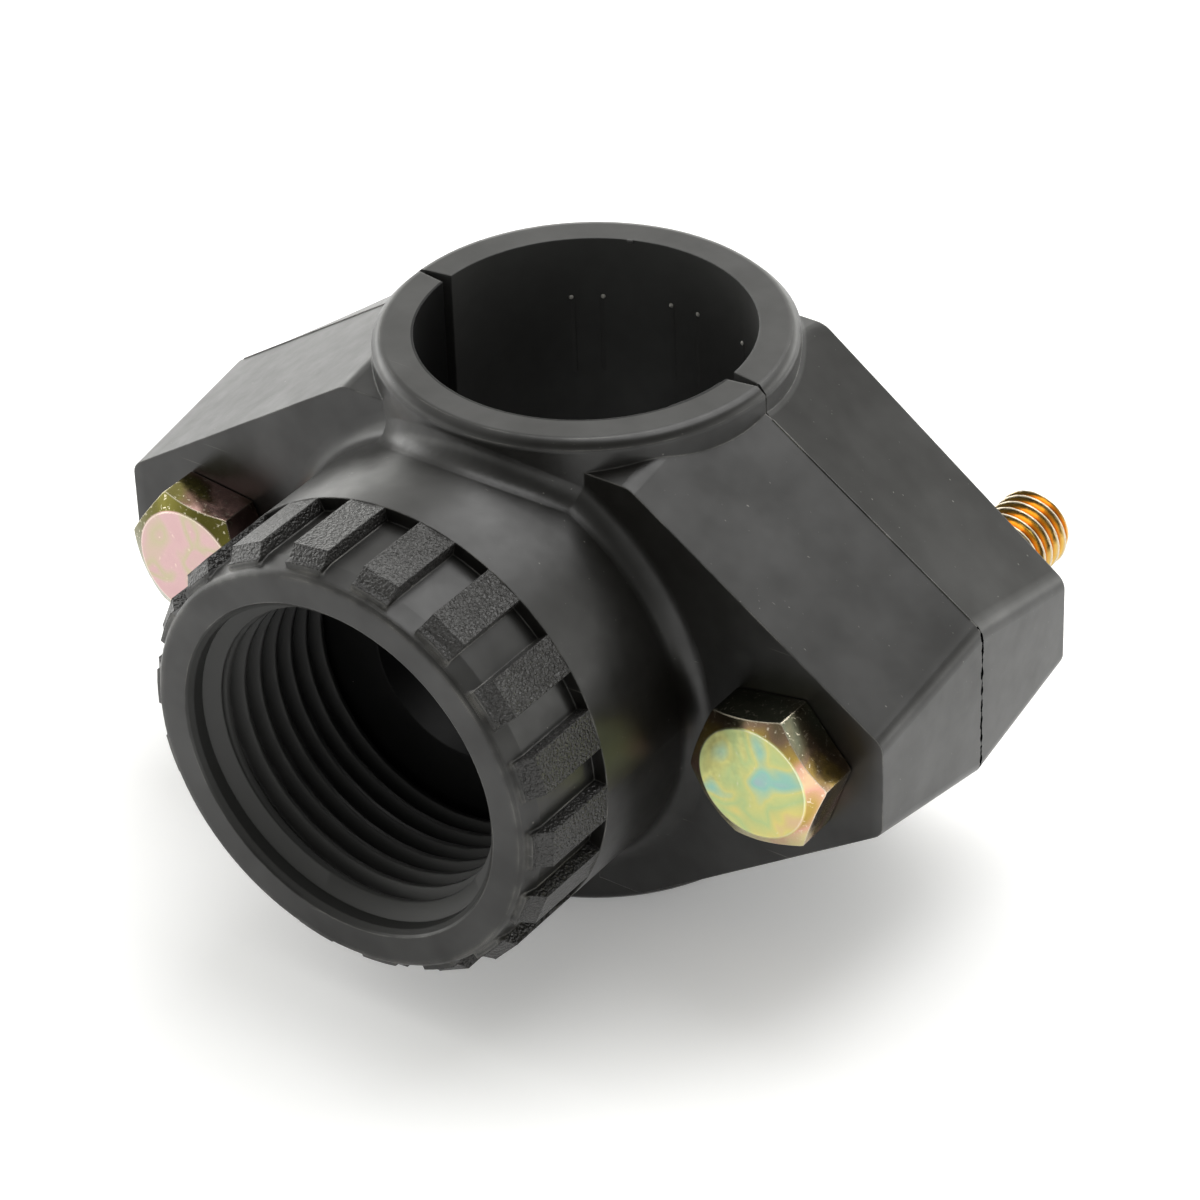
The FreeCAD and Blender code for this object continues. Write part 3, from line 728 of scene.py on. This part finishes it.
class ShapeTree:
    """Geometry Nodes tree with named inputs, built in the script."""

    name = "shape"
    # Kind of socket, with the names of the inputs that have it
    inputs: dict[str, tuple[str, ...]] = {}

    def __init__(self) -> None:
        """Make the tree and its sockets, and join its nodes."""
        self.tree = bpy.data.node_groups.new(self.name, "GeometryNodeTree")
        for way in ("INPUT", "OUTPUT"):
            self.tree.interface.new_socket("Geometry", in_out=way, socket_type="NodeSocketGeometry")
        for kind, names in self.inputs.items():
            for name in names:
                self.tree.interface.new_socket(name, in_out="INPUT", socket_type=f"NodeSocket{kind}")
        add = partial(add_node, self.tree)
        given = add("NodeGroupInput").outputs
        real = add("GeometryNodeRealizeInstances", {"Geometry": self.wire(add, given)})
        dressed = add("GeometryNodeSetMaterial", {"Geometry": real, "Material": given["Finish"]})
        add("NodeGroupOutput", {0: dressed})

    def wire(self, add: Adder, given: bpy.types.NodeOutputs) -> Node:
        """Join the nodes that make the shape.

        Args:
            add: what adds a node to the tree.
            given: the tree's inputs.

        Returns:
            The node whose first output is the shape.
        """
        raise NotImplementedError

    def grow(self, sizes: dict[str, Value], start: bpy.types.Mesh | None = None) -> bpy.types.Mesh:
        """Run the tree once.

        Args:
            sizes: a value for each of the tree's named inputs, lengths in metres.
            start: the mesh that the tree starts from, if it needs one.

        Returns:
            The result as a plain mesh.
        """
        holder = stand(f"{self.name}_holder", start or bpy.data.meshes.new(f"{self.name}_start"))
        modifier = holder.modifiers.new(self.name, "NODES")
        modifier.node_group = self.tree
        sockets = {item.name: item.identifier for item in self.tree.interface.items_tree
                   if item.item_type == "SOCKET" and item.in_out == "INPUT"}
        for name, value in sizes.items():
            modifier[sockets[name]] = value
        depsgraph = bpy.context.evaluated_depsgraph_get()
        mesh = bpy.data.meshes.new_from_object(holder.evaluated_get(depsgraph))
        holder.modifiers.remove(modifier)
        bpy.data.objects.remove(holder)
        return mesh


class ThreadTree(ShapeTree):
    """Winds a thread of any size round its own +Z."""

    name = "wound_thread"
    inputs = {
        "Float": ("Root Radius", "Crest Radius", "End Radius", "Tip Radius", "Pitch", "Start", "Length", "Run In",
                  "Run Out", "Fill", "Lead In", "Crest Flat", "Root Flat"),
        "Int": ("Around", "Thread Rows", "Rows"),
        "Material": ("Finish",),
    }

    def wire(self, add: Adder, given: bpy.types.NodeOutputs) -> Node:
        """Wind a grid: across it is the turn, along it are the rows from one end to the other.

        Args:
            add: what adds a node to the tree.
            given: the tree's inputs.

        Returns:
            The node whose first output is the thread.
        """
        grid = add("GeometryNodeMeshGrid",
                   {"Size X": 1.0, "Size Y": 1.0, "Vertices X": given["Around"], "Vertices Y": given["Rows"]})
        x, y, _ = add("ShaderNodeSeparateXYZ", {"Vector": add("GeometryNodeInputPosition")}).outputs
        known = {"x": x, "y": y}
        known |= {name.lower().replace(" ", "_"): given[name] for names in self.inputs.values() for name in names}
        # Each step: its name, what is done, and its one or two values
        for name, operation, *values in (
                ("turn", "ADD", "x", 0.5),
                ("last_row", "SUBTRACT", "rows", 1.0),
                ("along", "ADD", "y", 0.5),
                ("along", "MULTIPLY", "along", "last_row"),
                ("row", "ROUND", "along"),
                # Share of the thread's length, held at its ends for the rows that close them
                ("steps", "SUBTRACT", "thread_rows", 1.0),
                ("share", "SUBTRACT", "row", 1.0),
                ("share", "DIVIDE", "share", "steps"),
                ("share", "MAXIMUM", "share", 0.0),
                ("share", "MINIMUM", "share", 1.0),
                ("last_thread_row", "ADD", "thread_rows", 1.5),
                ("wrapped", "GREATER_THAN", "row", "last_thread_row"),
                ("unwrapped", "SUBTRACT", 1.0, "wrapped"),
                ("share", "MULTIPLY", "share", "unwrapped"),
                ("reach", "MULTIPLY", "share", "length"),
                ("height", "ADD", "start", "reach"),
                # Place across one pitch, and how far up the flank that is
                ("turns", "DIVIDE", "height", "pitch"),
                ("unturned", "SUBTRACT", 1.0, "turn"),
                ("phase", "ADD", "turns", "unturned"),
                ("phase", "FRACT", "phase"),
                ("aside", "SUBTRACT", "phase", 0.5),
                ("aside", "ABSOLUTE", "aside"),
                ("aside", "MULTIPLY", "aside", 2.0),
                ("flank", "SUBTRACT", 1.0, "root_flat"),
                ("fall", "SUBTRACT", "flank", "aside"),
                ("flank_width", "SUBTRACT", "flank", "crest_flat"),
                ("ridge", "DIVIDE", "fall", "flank_width"),
                ("ridge", "MAXIMUM", "ridge", 0.0),
                ("ridge", "MINIMUM", "ridge", 1.0),
                # The thread fades at both ends, and at the last one its groove may fill instead
                ("run_in", "DIVIDE", "reach", "run_in"),
                ("run_in", "MINIMUM", "run_in", 1.0),
                ("left", "SUBTRACT", "length", "reach"),
                ("run_out", "DIVIDE", "left", "run_out"),
                ("run_out", "MINIMUM", "run_out", 1.0),
                ("ridge", "MULTIPLY", "ridge", "run_in"),
                ("ridge", "MULTIPLY", "ridge", "run_out"),
                ("faded", "SUBTRACT", 1.0, "run_out"),
                ("filled", "MULTIPLY", "faded", "fill"),
                ("ridge", "ADD", "ridge", "filled"),
                ("depth", "SUBTRACT", "crest_radius", "root_radius"),
                ("rise", "MULTIPLY", "ridge", "depth"),
                ("radius", "ADD", "root_radius", "rise"),
                ("tip", "ADD", "tip_radius", "reach"),
                ("radius", "MINIMUM", "radius", "tip"),
                # The first and last rows lie at the end radius
                ("first", "LESS_THAN", "row", 0.5),
                ("thread_end", "ADD", "thread_rows", 0.5),
                ("last", "GREATER_THAN", "row", "thread_end"),
                ("at_end", "ADD", "first", "last"),
                ("drop", "SUBTRACT", "end_radius", "radius"),
                ("drop", "MULTIPLY", "drop", "at_end"),
                ("radius", "ADD", "radius", "drop"),
                # A cone leads in from the last row of the thread
                ("lead", "MULTIPLY", "last", "lead_in"),
                ("lead", "MULTIPLY", "lead", "unwrapped"),
                ("height", "ADD", "height", "lead"),
                ("angle", "MULTIPLY", "turn", 2 * math.pi),
                ("cosine", "COSINE", "angle"),
                ("sine", "SINE", "angle"),
                ("place_x", "MULTIPLY", "radius", "cosine"),
                ("place_y", "MULTIPLY", "radius", "sine")):
            inputs = {index: known.get(value, value) for index, value in enumerate(values)}
            known[name] = add("ShaderNodeMath", inputs, operation=operation)
        position = add("ShaderNodeCombineXYZ", {"X": known["place_x"], "Y": known["place_y"], "Z": known["height"]})
        moved = add("GeometryNodeSetPosition", {"Geometry": grid, "Position": position})
        return add("GeometryNodeMergeByDistance", {"Geometry": moved, "Distance": SHORT_MM * MM})


class FinTree(ShapeTree):
    """Lays a ragged fin of moulding flash along the edges of the mesh that it starts from."""

    name = "ragged_fin"
    inputs = {"Float": ("Reach", "Least", "Step", "Tear Size", "Seed"), "Material": ("Finish",)}

    def wire(self, add: Adder, given: bpy.types.NodeOutputs) -> Node:
        """Swell and pinch a thin round bead along each path, by noise.

        Args:
            add: what adds a node to the tree.
            given: the tree's inputs.

        Returns:
            The node whose first output is the fin.
        """
        path = add("GeometryNodeMeshToCurve", {"Mesh": given["Geometry"]})
        even = add("GeometryNodeResampleCurve", {"Curve": path, "Length": given["Step"]}, mode="LENGTH")
        fine = add("ShaderNodeMath", {0: 1.0, 1: given["Tear Size"]}, operation="DIVIDE")
        tears = add("ShaderNodeTexNoise", {"Vector": add("GeometryNodeInputPosition"), "W": given["Seed"],
                                           "Scale": fine, "Detail": 3.0}, noise_dimensions="4D")
        swell = add("ShaderNodeMapRange",
                    {"Value": tears, "From Min": 0.42, "From Max": 0.64, "To Min": given["Least"], "To Max": 1.0})
        sized = add("GeometryNodeSetCurveRadius", {"Curve": even, "Radius": swell})
        bead = add("GeometryNodeCurvePrimitiveCircle", {"Resolution": 6, "Radius": given["Reach"]})
        return add("GeometryNodeCurveToMesh", {"Curve": sized, "Profile Curve": bead, "Fill Caps": True})


class DomeTree(ShapeTree):
    """Sets a small dome on each vertex of the mesh that it starts from."""

    name = "set_domes"
    inputs = {"Float": ("Radius",), "Material": ("Finish",)}

    def wire(self, add: Adder, given: bpy.types.NodeOutputs) -> Node:
        """Stand one ball at each point.

        Args:
            add: what adds a node to the tree.
            given: the tree's inputs.

        Returns:
            The node whose first output is the balls.
        """
        points = add("GeometryNodeMeshToPoints", {"Mesh": given["Geometry"]})
        ball = add("GeometryNodeMeshIcoSphere", {"Radius": given["Radius"], "Subdivisions": 3})
        return add("GeometryNodeInstanceOnPoints", {"Points": points, "Instance": ball})


# Pieces


@dataclass(frozen=True)
class Thread:
    """Sizes of a thread that winds up its own +Z."""

    root_radius_mm: float
    crest_radius_mm: float
    # Radius of the rows that close its ends, and the cone that cuts its start
    end_radius_mm: float
    tip_radius_mm: float
    pitch_mm: float
    start_mm: float
    length_mm: float
    run_in_mm: float
    run_out_mm: float
    # Shares of a pitch that are flat
    crest_flat: float
    root_flat: float
    around: int
    rows_a_pitch: int
    closing_rows: int = 2
    fill: float = 0.0
    lead_in_mm: float = 0.0

    def wind(self, threads: ThreadTree, finish: Material) -> bpy.types.Mesh:
        """Wind the thread.

        Args:
            threads: the tree that winds threads.
            finish: the thread's material.

        Returns:
            Its mesh.
        """
        rows = round(self.length_mm / self.pitch_mm * self.rows_a_pitch)
        lengths = {
            "Root Radius": self.root_radius_mm, "Crest Radius": self.crest_radius_mm,
            "End Radius": self.end_radius_mm, "Tip Radius": self.tip_radius_mm, "Pitch": self.pitch_mm,
            "Start": self.start_mm, "Length": self.length_mm, "Run In": self.run_in_mm,
            "Run Out": self.run_out_mm, "Lead In": self.lead_in_mm}
        return threads.grow({name: size * MM for name, size in lengths.items()} | {
            "Fill": self.fill, "Crest Flat": self.crest_flat, "Root Flat": self.root_flat, "Around": self.around,
            "Thread Rows": rows, "Rows": rows + self.closing_rows, "Finish": finish})


@dataclass
class HexagonBolt:
    """M8 hexagon bolt with a chamfered head, a reduced shank and a rolled thread."""

    node: str
    body: Body
    centre_mm: float
    head_turn: float
    seat_mm: float = BOLT_SEAT_MM
    width_mm: float = 13.0
    corner_round_mm: float = 0.35
    # Share of its radius by which a round shortens a hexagon's corner
    corner_cut: float = 0.155
    inner_radius_mm: float = 3.0
    # Height of each ring of the rounded underside, and how far inside the hexagon it lies
    underside_mm: tuple[tuple[float, float], ...] = ((0.0, 0.25), (0.12, 0.05))
    underside_round_mm: float = 0.3
    head_mm: float = 5.3
    face_radius_mm: float = 5.65
    chamfer: float = 30.0
    chamfer_shares: tuple[float, ...] = (0.35, 0.7, 1.0)
    # Depth of the face's dish at its rim and its floor, the rim's inset and the floor's radius
    dish_rim_mm: float = 0.03
    dish_mm: float = 0.05
    dish_inset_mm: float = 0.5
    dish_floor_mm: float = 2.0
    shank_radius_mm: float = 3.56
    taper_mm: float = 0.6
    # How far the shank's ends are sunk in the thread and in the head
    sunk_in_thread_mm: float = 0.1
    sunk_in_head_mm: float = 0.2
    around: int = 144
    smooth_angle: float = 28.0
    thread: Thread = Thread(
        root_radius_mm=3.22, crest_radius_mm=3.95, end_radius_mm=0.0, tip_radius_mm=2.77, pitch_mm=1.25,
        start_mm=-45.0, length_mm=24.0, run_in_mm=0.3, run_out_mm=2.0, crest_flat=0.14, root_flat=0.22, around=73,
        rows_a_pitch=20)

    def reach(self, angle: float) -> float:
        """Measure from the axis to the hexagon's edge, with its corners slightly rounded.

        Args:
            angle: direction round the axis, in radians.

        Returns:
            The distance in mm.
        """
        sixth = math.radians(60)
        turned = (angle - math.radians(self.head_turn)) % sixth - sixth / 2
        flat = self.width_mm / 2 / math.cos(turned)
        corner = self.width_mm / 2 / math.cos(sixth / 2) - self.corner_round_mm * self.corner_cut
        return min(flat, corner)

    def ring(self, height: float, radius: Callable[[float], float]) -> list[Vector]:
        """Lay one ring of points round the bolt's own axis.

        Args:
            height: its height over the seat, in mm.
            radius: its radius in mm, at each angle in radians.

        Returns:
            The points in mm.
        """
        points = []
        for step in range(self.around):
            angle = 2 * math.pi * step / self.around + math.radians(self.head_turn)
            points.append(Vector((radius(angle) * math.cos(angle), radius(angle) * math.sin(angle), height)))
        return points

    def head_rings(self) -> list[list[Vector]]:
        """Stack the rings of the head.

        Returns:
            The rings, from its underside to its face.
        """
        slope = math.tan(math.radians(self.chamfer))
        low, top = self.underside_round_mm, self.head_mm

        def edge_height(angle: float) -> float:
            """Height at which the chamfer leaves the hexagon's side."""
            return top - max(0.0, self.reach(angle) - self.face_radius_mm) * slope

        rings = [self.ring(0.0, lambda angle: self.inner_radius_mm)]
        for height, inset in self.underside_mm:
            rings.append(self.ring(height, lambda angle: self.reach(angle) - inset))
        rings.append(self.ring(low, self.reach))
        edge = self.ring(0.0, self.reach)
        for share in (0.5, 1.0):
            rings.append([Vector((point.x, point.y, low + share * (edge_height(
                math.atan2(point.y, point.x)) - low))) for point in edge])
        for share in self.chamfer_shares:
            ring = []
            for point in edge:
                angle = math.atan2(point.y, point.x)
                radius = self.reach(angle) * (1 - share) + self.face_radius_mm * share
                height = edge_height(angle) * (1 - share) + top * share
                ring.append(Vector((radius * math.cos(angle), radius * math.sin(angle), height)))
            rings.append(ring)
        rings.append(self.ring(top - self.dish_rim_mm, lambda angle: self.face_radius_mm - self.dish_inset_mm))
        rings.append(self.ring(top - self.dish_mm, lambda angle: self.dish_floor_mm))
        return rings

    def shank_rings(self) -> list[list[Vector]]:
        """Stack the rings of the plain shank.

        Returns:
            The rings, from the thread to the head.
        """
        low = self.thread.start_mm + self.thread.length_mm
        root = self.thread.root_radius_mm
        return [self.ring(height, lambda angle: radius) for height, radius in (
            (low - 2 * self.taper_mm, root - self.sunk_in_thread_mm), (low - self.taper_mm, root),
            (low, self.shank_radius_mm), (self.sunk_in_head_mm, self.shank_radius_mm))]

    def dress(self, threads: ThreadTree, finish: YellowZinc) -> Piece:
        """Build the bolt in place of its plain CAD node.

        Args:
            threads: the tree that winds threads.
            finish: the bolt's plating.

        Returns:
            The dressed bolt.
        """
        material = finish.build()
        thread = self.thread.wind(threads, material)
        to_frame = Matrix.Translation((self.centre_mm * MM, self.seat_mm * MM, 0)) @ Matrix.Rotation(
            math.radians(90), 4, "X")

        def build(mesh: bmesh.types.BMesh) -> None:
            """Put head, shank and thread together in the frame.

            Args:
                mesh: the empty mesh that gets them.
            """
            for rings in (self.head_rings(), self.shank_rings()):
                add_lathe(mesh, [[point * MM for point in ring] for ring in rings])
            mesh.from_mesh(thread)
            mesh.transform(to_frame)

        piece = finish_mesh(f"{self.node}_threaded", build, material, self.smooth_angle)
        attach(piece, self.body.value)
        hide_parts(self.node)
        return piece


@dataclass
class OutletThread:
    """Internal one-inch pipe thread, moulded into the outlet, with a cone that leads the pipe in."""

    # No cone cuts its start, so its tip radius is a metre
    thread: Thread = Thread(
        root_radius_mm=16.56, crest_radius_mm=15.15, end_radius_mm=16.95, tip_radius_mm=1000.0, pitch_mm=2.309,
        start_mm=22.05, length_mm=15.7, run_in_mm=0.6, run_out_mm=1.6, crest_flat=0.18, root_flat=0.18, around=181,
        rows_a_pitch=24, closing_rows=3, fill=0.75, lead_in_mm=1.15)
    smooth_angle: float = 40.0

    def dress(self, threads: ThreadTree, material: Material) -> Piece:
        """Wind the thread inside the outlet.

        Args:
            threads: the tree that winds threads.
            material: the moulding's material.

        Returns:
            The thread's piece.
        """
        wound = self.thread.wind(threads, material)

        def build(mesh: bmesh.types.BMesh) -> None:
            """Turn the thread from its own +Z to the outlet's axis."""
            mesh.from_mesh(wound)
            mesh.transform(Matrix.Rotation(math.radians(90), 4, "X"))

        piece = finish_mesh("outlet_thread", build, material, self.smooth_angle)
        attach(piece, Body.FRONT.value)
        return piece


@dataclass
class Flash:
    """Ragged flash where the mould halves met, on one moulded half."""

    name: str
    body: Body
    paths_mm: list[list[Point]]
    reach_mm: float
    least: float
    seed: float
    step_mm: float = 0.12
    tear_mm: float = 0.55

    def dress(self, fins: FinTree, material: Material) -> Piece:
        """Lay the flash along its paths.

        Args:
            fins: the tree that makes ragged fins.
            material: the moulding's material.

        Returns:
            The flash's piece.
        """
        start = bpy.data.meshes.new(f"{self.name}_paths")
        points = []
        edges = []
        for path in self.paths_mm:
            edges.extend((len(points) + index, len(points) + index + 1) for index in range(len(path) - 1))
            points.extend(Vector(point) * MM for point in path)
        start.from_pydata(points, edges, [])
        fin = fins.grow({"Reach": self.reach_mm * MM, "Least": self.least, "Step": self.step_mm * MM,
                         "Tear Size": self.tear_mm * MM, "Seed": self.seed, "Finish": material}, start)
        piece = finish_mesh(self.name, lambda mesh: mesh.from_mesh(fin), material)
        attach(piece, self.body.value)
        return piece


def parting_paths(half_width: float = 16.1, height: float = 26.0, slope: float = 33.8, start: float = 20.7,
                  end: float = 42.0, ahead: float = 0.04) -> list[list[Point]]:
    """Follow the parting line down the four slopes of the lugs.

    Args:
        half_width: half the flat top, in mm.
        height: the flat top over the pipe's axis, in mm.
        slope: the slopes' angle in degrees.
        start: distance from the middle where each path starts, in mm.
        end: distance from the middle where each path ends, in mm.
        ahead: distance of the paths in front of the joint, in mm.

    Returns:
        Four paths of two points.
    """
    paths = []
    for side in (-1, 1):
        for up in (-1, 1):
            paths.append([(side * out, -ahead, up * (height - (out - half_width) * math.tan(math.radians(slope))))
                          for out in (start, end)])
    return paths


def rim_path(first: float, last: float, radius: float = 16.02, height: float = 25.97) -> list[Point]:
    """Follow the edge of the pipe's bore.

    Args:
        first: angle in degrees where the path starts.
        last: angle in degrees where it ends.
        radius: the edge's radius, in mm.
        height: the edge's height, in mm.

    Returns:
        Points about a degree apart.
    """
    steps = max(2, round(abs(last - first)))
    angles = [math.radians(first + (last - first) * step / steps) for step in range(steps + 1)]
    return [(radius * math.cos(angle), radius * math.sin(angle), height) for angle in angles]


@dataclass
class GripRibEnds:
    """Rounded ends that the cutter left at the tops of the grip ribs in the bore, painted pale as highlight dots.
    """

    turns: tuple[float, ...] = (-35.5, 0.0, 35.5)
    half_spacing_mm: float = 1.55
    wall_mm: float = 16.06
    top_mm: float = 19.65
    radius_mm: float = 0.24
    smooth_angle: float = 60.0

    def dress(self, domes: DomeTree, material: Material) -> Piece:
        """Set the domes on the back half.

        Args:
            domes: the tree that sets domes.
            material: the moulding's material.

        Returns:
            The domes' piece.
        """
        points = []
        for turn in self.turns:
            for side in (-self.half_spacing_mm, self.half_spacing_mm):
                for height in (-self.top_mm, self.top_mm):
                    foot = Vector((side, self.wall_mm, height)) * MM
                    points.append(Matrix.Rotation(math.radians(turn), 3, "Z") @ foot)
        start = bpy.data.meshes.new("grip_rib_end_points")
        start.from_pydata(points, [], [])
        ends = domes.grow({"Radius": self.radius_mm * MM, "Finish": material}, start)
        piece = finish_mesh("grip_rib_ends", lambda mesh: mesh.from_mesh(ends), material, self.smooth_angle)
        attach(piece, Body.BACK.value)
        return piece


# Studio


@dataclass
class Studio:
    """Pale floor, soft light and the photograph's camera."""

    floor_mm: float = -26.1
    floor_half_width_mm: float = 3000.0
    floor_roughness: float = 0.9
    floor_colours: tuple[str, str] = ("#f6f6f6", "#fafafa")
    floor_clouds_a_metre: float = 4.0
    camera_mm: Point = (233.76, -317.97, 267.56)
    right: Point = (0.81826, 0.57401, -0.03088)
    up: Point = (-0.30552, 0.47978, 0.82248)
    focal_px: float = 4980.18
    picture_px: float = 1200.0
    sensor_mm: float = 36.0
    clip_m: tuple[float, float] = (0.01, 20.0)
    room_colour: str = "#fffffb"
    horizon: float = 3.6
    sky: float = 1.0
    floor_glow: float = 0.2
    dim_side: Point = (0.59, -0.81, 0.0)
    dim_share: float = 0.25
    # Each box: its name, place, size and radiance
    boxes: tuple[tuple[str, Point, float, float], ...] = (
        ("overhead_box", (50.0, 450.0, 950.0), 900.0, 2.9),
        ("left_box", (-900.0, 100.0, 350.0), 500.0, 2.0),
    )

    def build(self) -> None:
        """Set up floor, world, lamps and camera."""
        self.floor()
        self.world()
        self.lamps()
        self.camera()

    def floor(self) -> None:
        """Lay the floor under the collar."""
        material, add, shader, place = start_finish("white_sweep")
        tone = add("ShaderNodeTexNoise", {"Vector": place, "Scale": self.floor_clouds_a_metre})
        dark, light = (linear(colour) for colour in self.floor_colours)
        tint = add("ShaderNodeMix", {"Factor": tone, 6: dark, 7: light}, data_type="RGBA").outputs[2]
        feed(shader, {"Base Color": tint, "Roughness": self.floor_roughness,
                      "Emission Color": (1.0, 1.0, 1.0, 1.0), "Emission Strength": self.floor_glow})
        half = self.floor_half_width_mm * MM
        height = self.floor_mm * MM
        data = bpy.data.meshes.new("floor")
        data.from_pydata([(-half, -half, height), (half, -half, height), (half, half, height),
                          (-half, half, height)], [], [(0, 1, 2, 3)])
        data.materials.append(material)
        floor = stand("floor", data)

    def world(self) -> None:
        """Light the room: bright at the horizon behind the object, dim on the photographer's side."""
        world = bpy.data.worlds.new("studio")
        bpy.context.scene.world = world
        world.use_nodes = True
        add = partial(add_node, world.node_tree)
        direction = add("ShaderNodeTexCoord").outputs["Generated"]
        height = add("ShaderNodeSeparateXYZ", {"Vector": direction}).outputs["Z"]
        rise = add("ShaderNodeMapRange", {"Value": height, "From Min": 0.0, "From Max": 0.6, "To Min": self.horizon,
                                          "To Max": self.sky}, interpolation_type="SMOOTHSTEP")
        towards = add("ShaderNodeVectorMath", {0: direction, 1: self.dim_side}, operation="DOT_PRODUCT")
        shade = add("ShaderNodeMapRange",
                    {"Value": towards.outputs["Value"], "From Min": -0.5, "From Max": 0.8, "To Min": 1.0,
                     "To Max": self.dim_share}, interpolation_type="SMOOTHSTEP")
        strength = add("ShaderNodeMath", {0: rise, 1: shade}, operation="MULTIPLY")
        feed(world.node_tree.nodes["Background"], {"Strength": strength, "Color": linear(self.room_colour)})
        bpy.context.scene.view_settings.view_transform = "Standard"

    def lamps(self) -> None:
        """Hang the soft boxes, each as bright as its radiance says."""
        for name, place, size, radiance in self.boxes:
            data = bpy.data.lights.new(name, "AREA")
            data.size = size * MM
            data.energy = radiance * math.pi * (size * MM) ** 2
            lamp = stand(name, data)
            lamp.location = Vector(place) * MM
            lamp.rotation_euler = (-lamp.location).to_track_quat("-Z", "Y").to_euler()

    def camera(self) -> None:
        """Stand the camera where the photograph was taken from."""
        data = bpy.data.cameras.new("camera")
        data.sensor_width = self.sensor_mm
        data.lens = self.sensor_mm * self.focal_px / self.picture_px
        data.clip_start, data.clip_end = self.clip_m
        right = Vector(self.right).normalized()
        back = right.cross(Vector(self.up)).normalized()
        up = back.cross(right)
        matrix = Matrix((right, up, back)).transposed().to_4x4()
        matrix.translation = Vector(self.camera_mm) * MM
        camera = stand("camera", data)
        camera.matrix_world = matrix
        bpy.context.scene.camera = camera


def paint(node: Piece, material: Material) -> None:
    """Give a CAD node one material."""
    node.data.materials.clear()
    node.data.materials.append(material)


RIGHT_FILM = Film(
    face=((0.0, "#e0aca8"), (0.2, "#e2d486"), (0.4, "#bfd092"), (0.55, "#d8d68c"), (0.72, "#9ccdbd"),
          (0.86, "#b0bac6"), (1.0, "#dcbf98")),
    flank=((0.0, "#6c6f5d"), (0.25, "#6d634d"), (0.42, "#8a735d"), (0.58, "#b3984e"), (0.76, "#dba792"),
           (1.0, "#e0d39c")),
    fall=0.24, chamfer=0.2)
LEFT_FILM = Film(
    face=((0.0, "#bd9a9c"), (0.45, "#c2a2a2"), (0.6, "#b3a98e"), (0.7, "#c0a0a0"), (1.0, "#b7a596")),
    flank=((0.0, "#5e5a2b"), (0.18, "#78713f"), (0.3, "#866c59"), (0.42, "#d0a8a0"), (1.0, "#d4abab")),
    # A chamfer shift below nought paints the chamfer dark, as a painted reflection
    fall=0.02, chamfer=-0.3)


def main() -> None:
    """Build the looks piece by piece and report each one."""
    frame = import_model()
    nodes = frame["nodes"]
    front = MouldedPolypropylene("moulded_polypropylene_front", MouldZone.FRONT).build()
    back = MouldedPolypropylene("moulded_polypropylene_back", MouldZone.BACK).build()
    cored = MouldedPolypropylene("moulded_polypropylene_thread", MouldZone.THREAD).build()
    paint(nodes["upper_half"], front)
    paint(nodes["lower_half"], back)
    paint(nodes["seal_ring"], SealRubber().build())
    for side, across in (("left", -BOLT_MM), ("right", BOLT_MM)):
        seat = (across, NUT_SEAT_MM, 0.0)
        paint(nodes[f"{side}_nut"], YellowZinc(f"yellow_zinc_{side}_nut", seat, RIGHT_FILM).build())
        LOG.info("painted %s_nut", side)
    threads = ThreadTree()
    bolts = (
        (HexagonBolt("left_bolt", Body.LEFT_BOLT, -BOLT_MM, head_turn=53.7),
         YellowZinc("yellow_zinc_left", (-BOLT_MM, BOLT_SEAT_MM, 0.0), LEFT_FILM)),
        (HexagonBolt("right_bolt", Body.RIGHT_BOLT, BOLT_MM, head_turn=10.0),
         YellowZinc("yellow_zinc_right", (BOLT_MM, BOLT_SEAT_MM, 0.0), RIGHT_FILM)),
    )
    for bolt, finish in bolts:
        LOG.info("made %s", bolt.dress(threads, finish).name)
    LOG.info("made %s", OutletThread().dress(threads, cored).name)
    fins = FinTree()
    for flash in (
        Flash("parting_flash", Body.FRONT, parting_paths(), reach_mm=0.1, least=0.2, seed=2.0),
        Flash("bore_flash", Body.FRONT, [rim_path(-27.0, -5.0)], reach_mm=0.13, least=0.1, seed=5.0),
        Flash("rim_nick", Body.BACK, [rim_path(109.0, 111.0)], reach_mm=0.2, least=0.8, seed=7.0),
    ):
        LOG.info("made %s", flash.dress(fins, front if flash.body is Body.FRONT else back).name)
    # The grip rib ends get a pale finish that is a painted highlight
    end_highlight_finish = MouldedPolypropylene("moulded_polypropylene_end_highlight", MouldZone.HIGHLIGHTED_ENDS).build()
    LOG.info("made %s", GripRibEnds().dress(DomeTree(), end_highlight_finish).name)
    Studio().build()


if __name__ == "__main__":
    logging.basicConfig(level=logging.INFO)
    main()
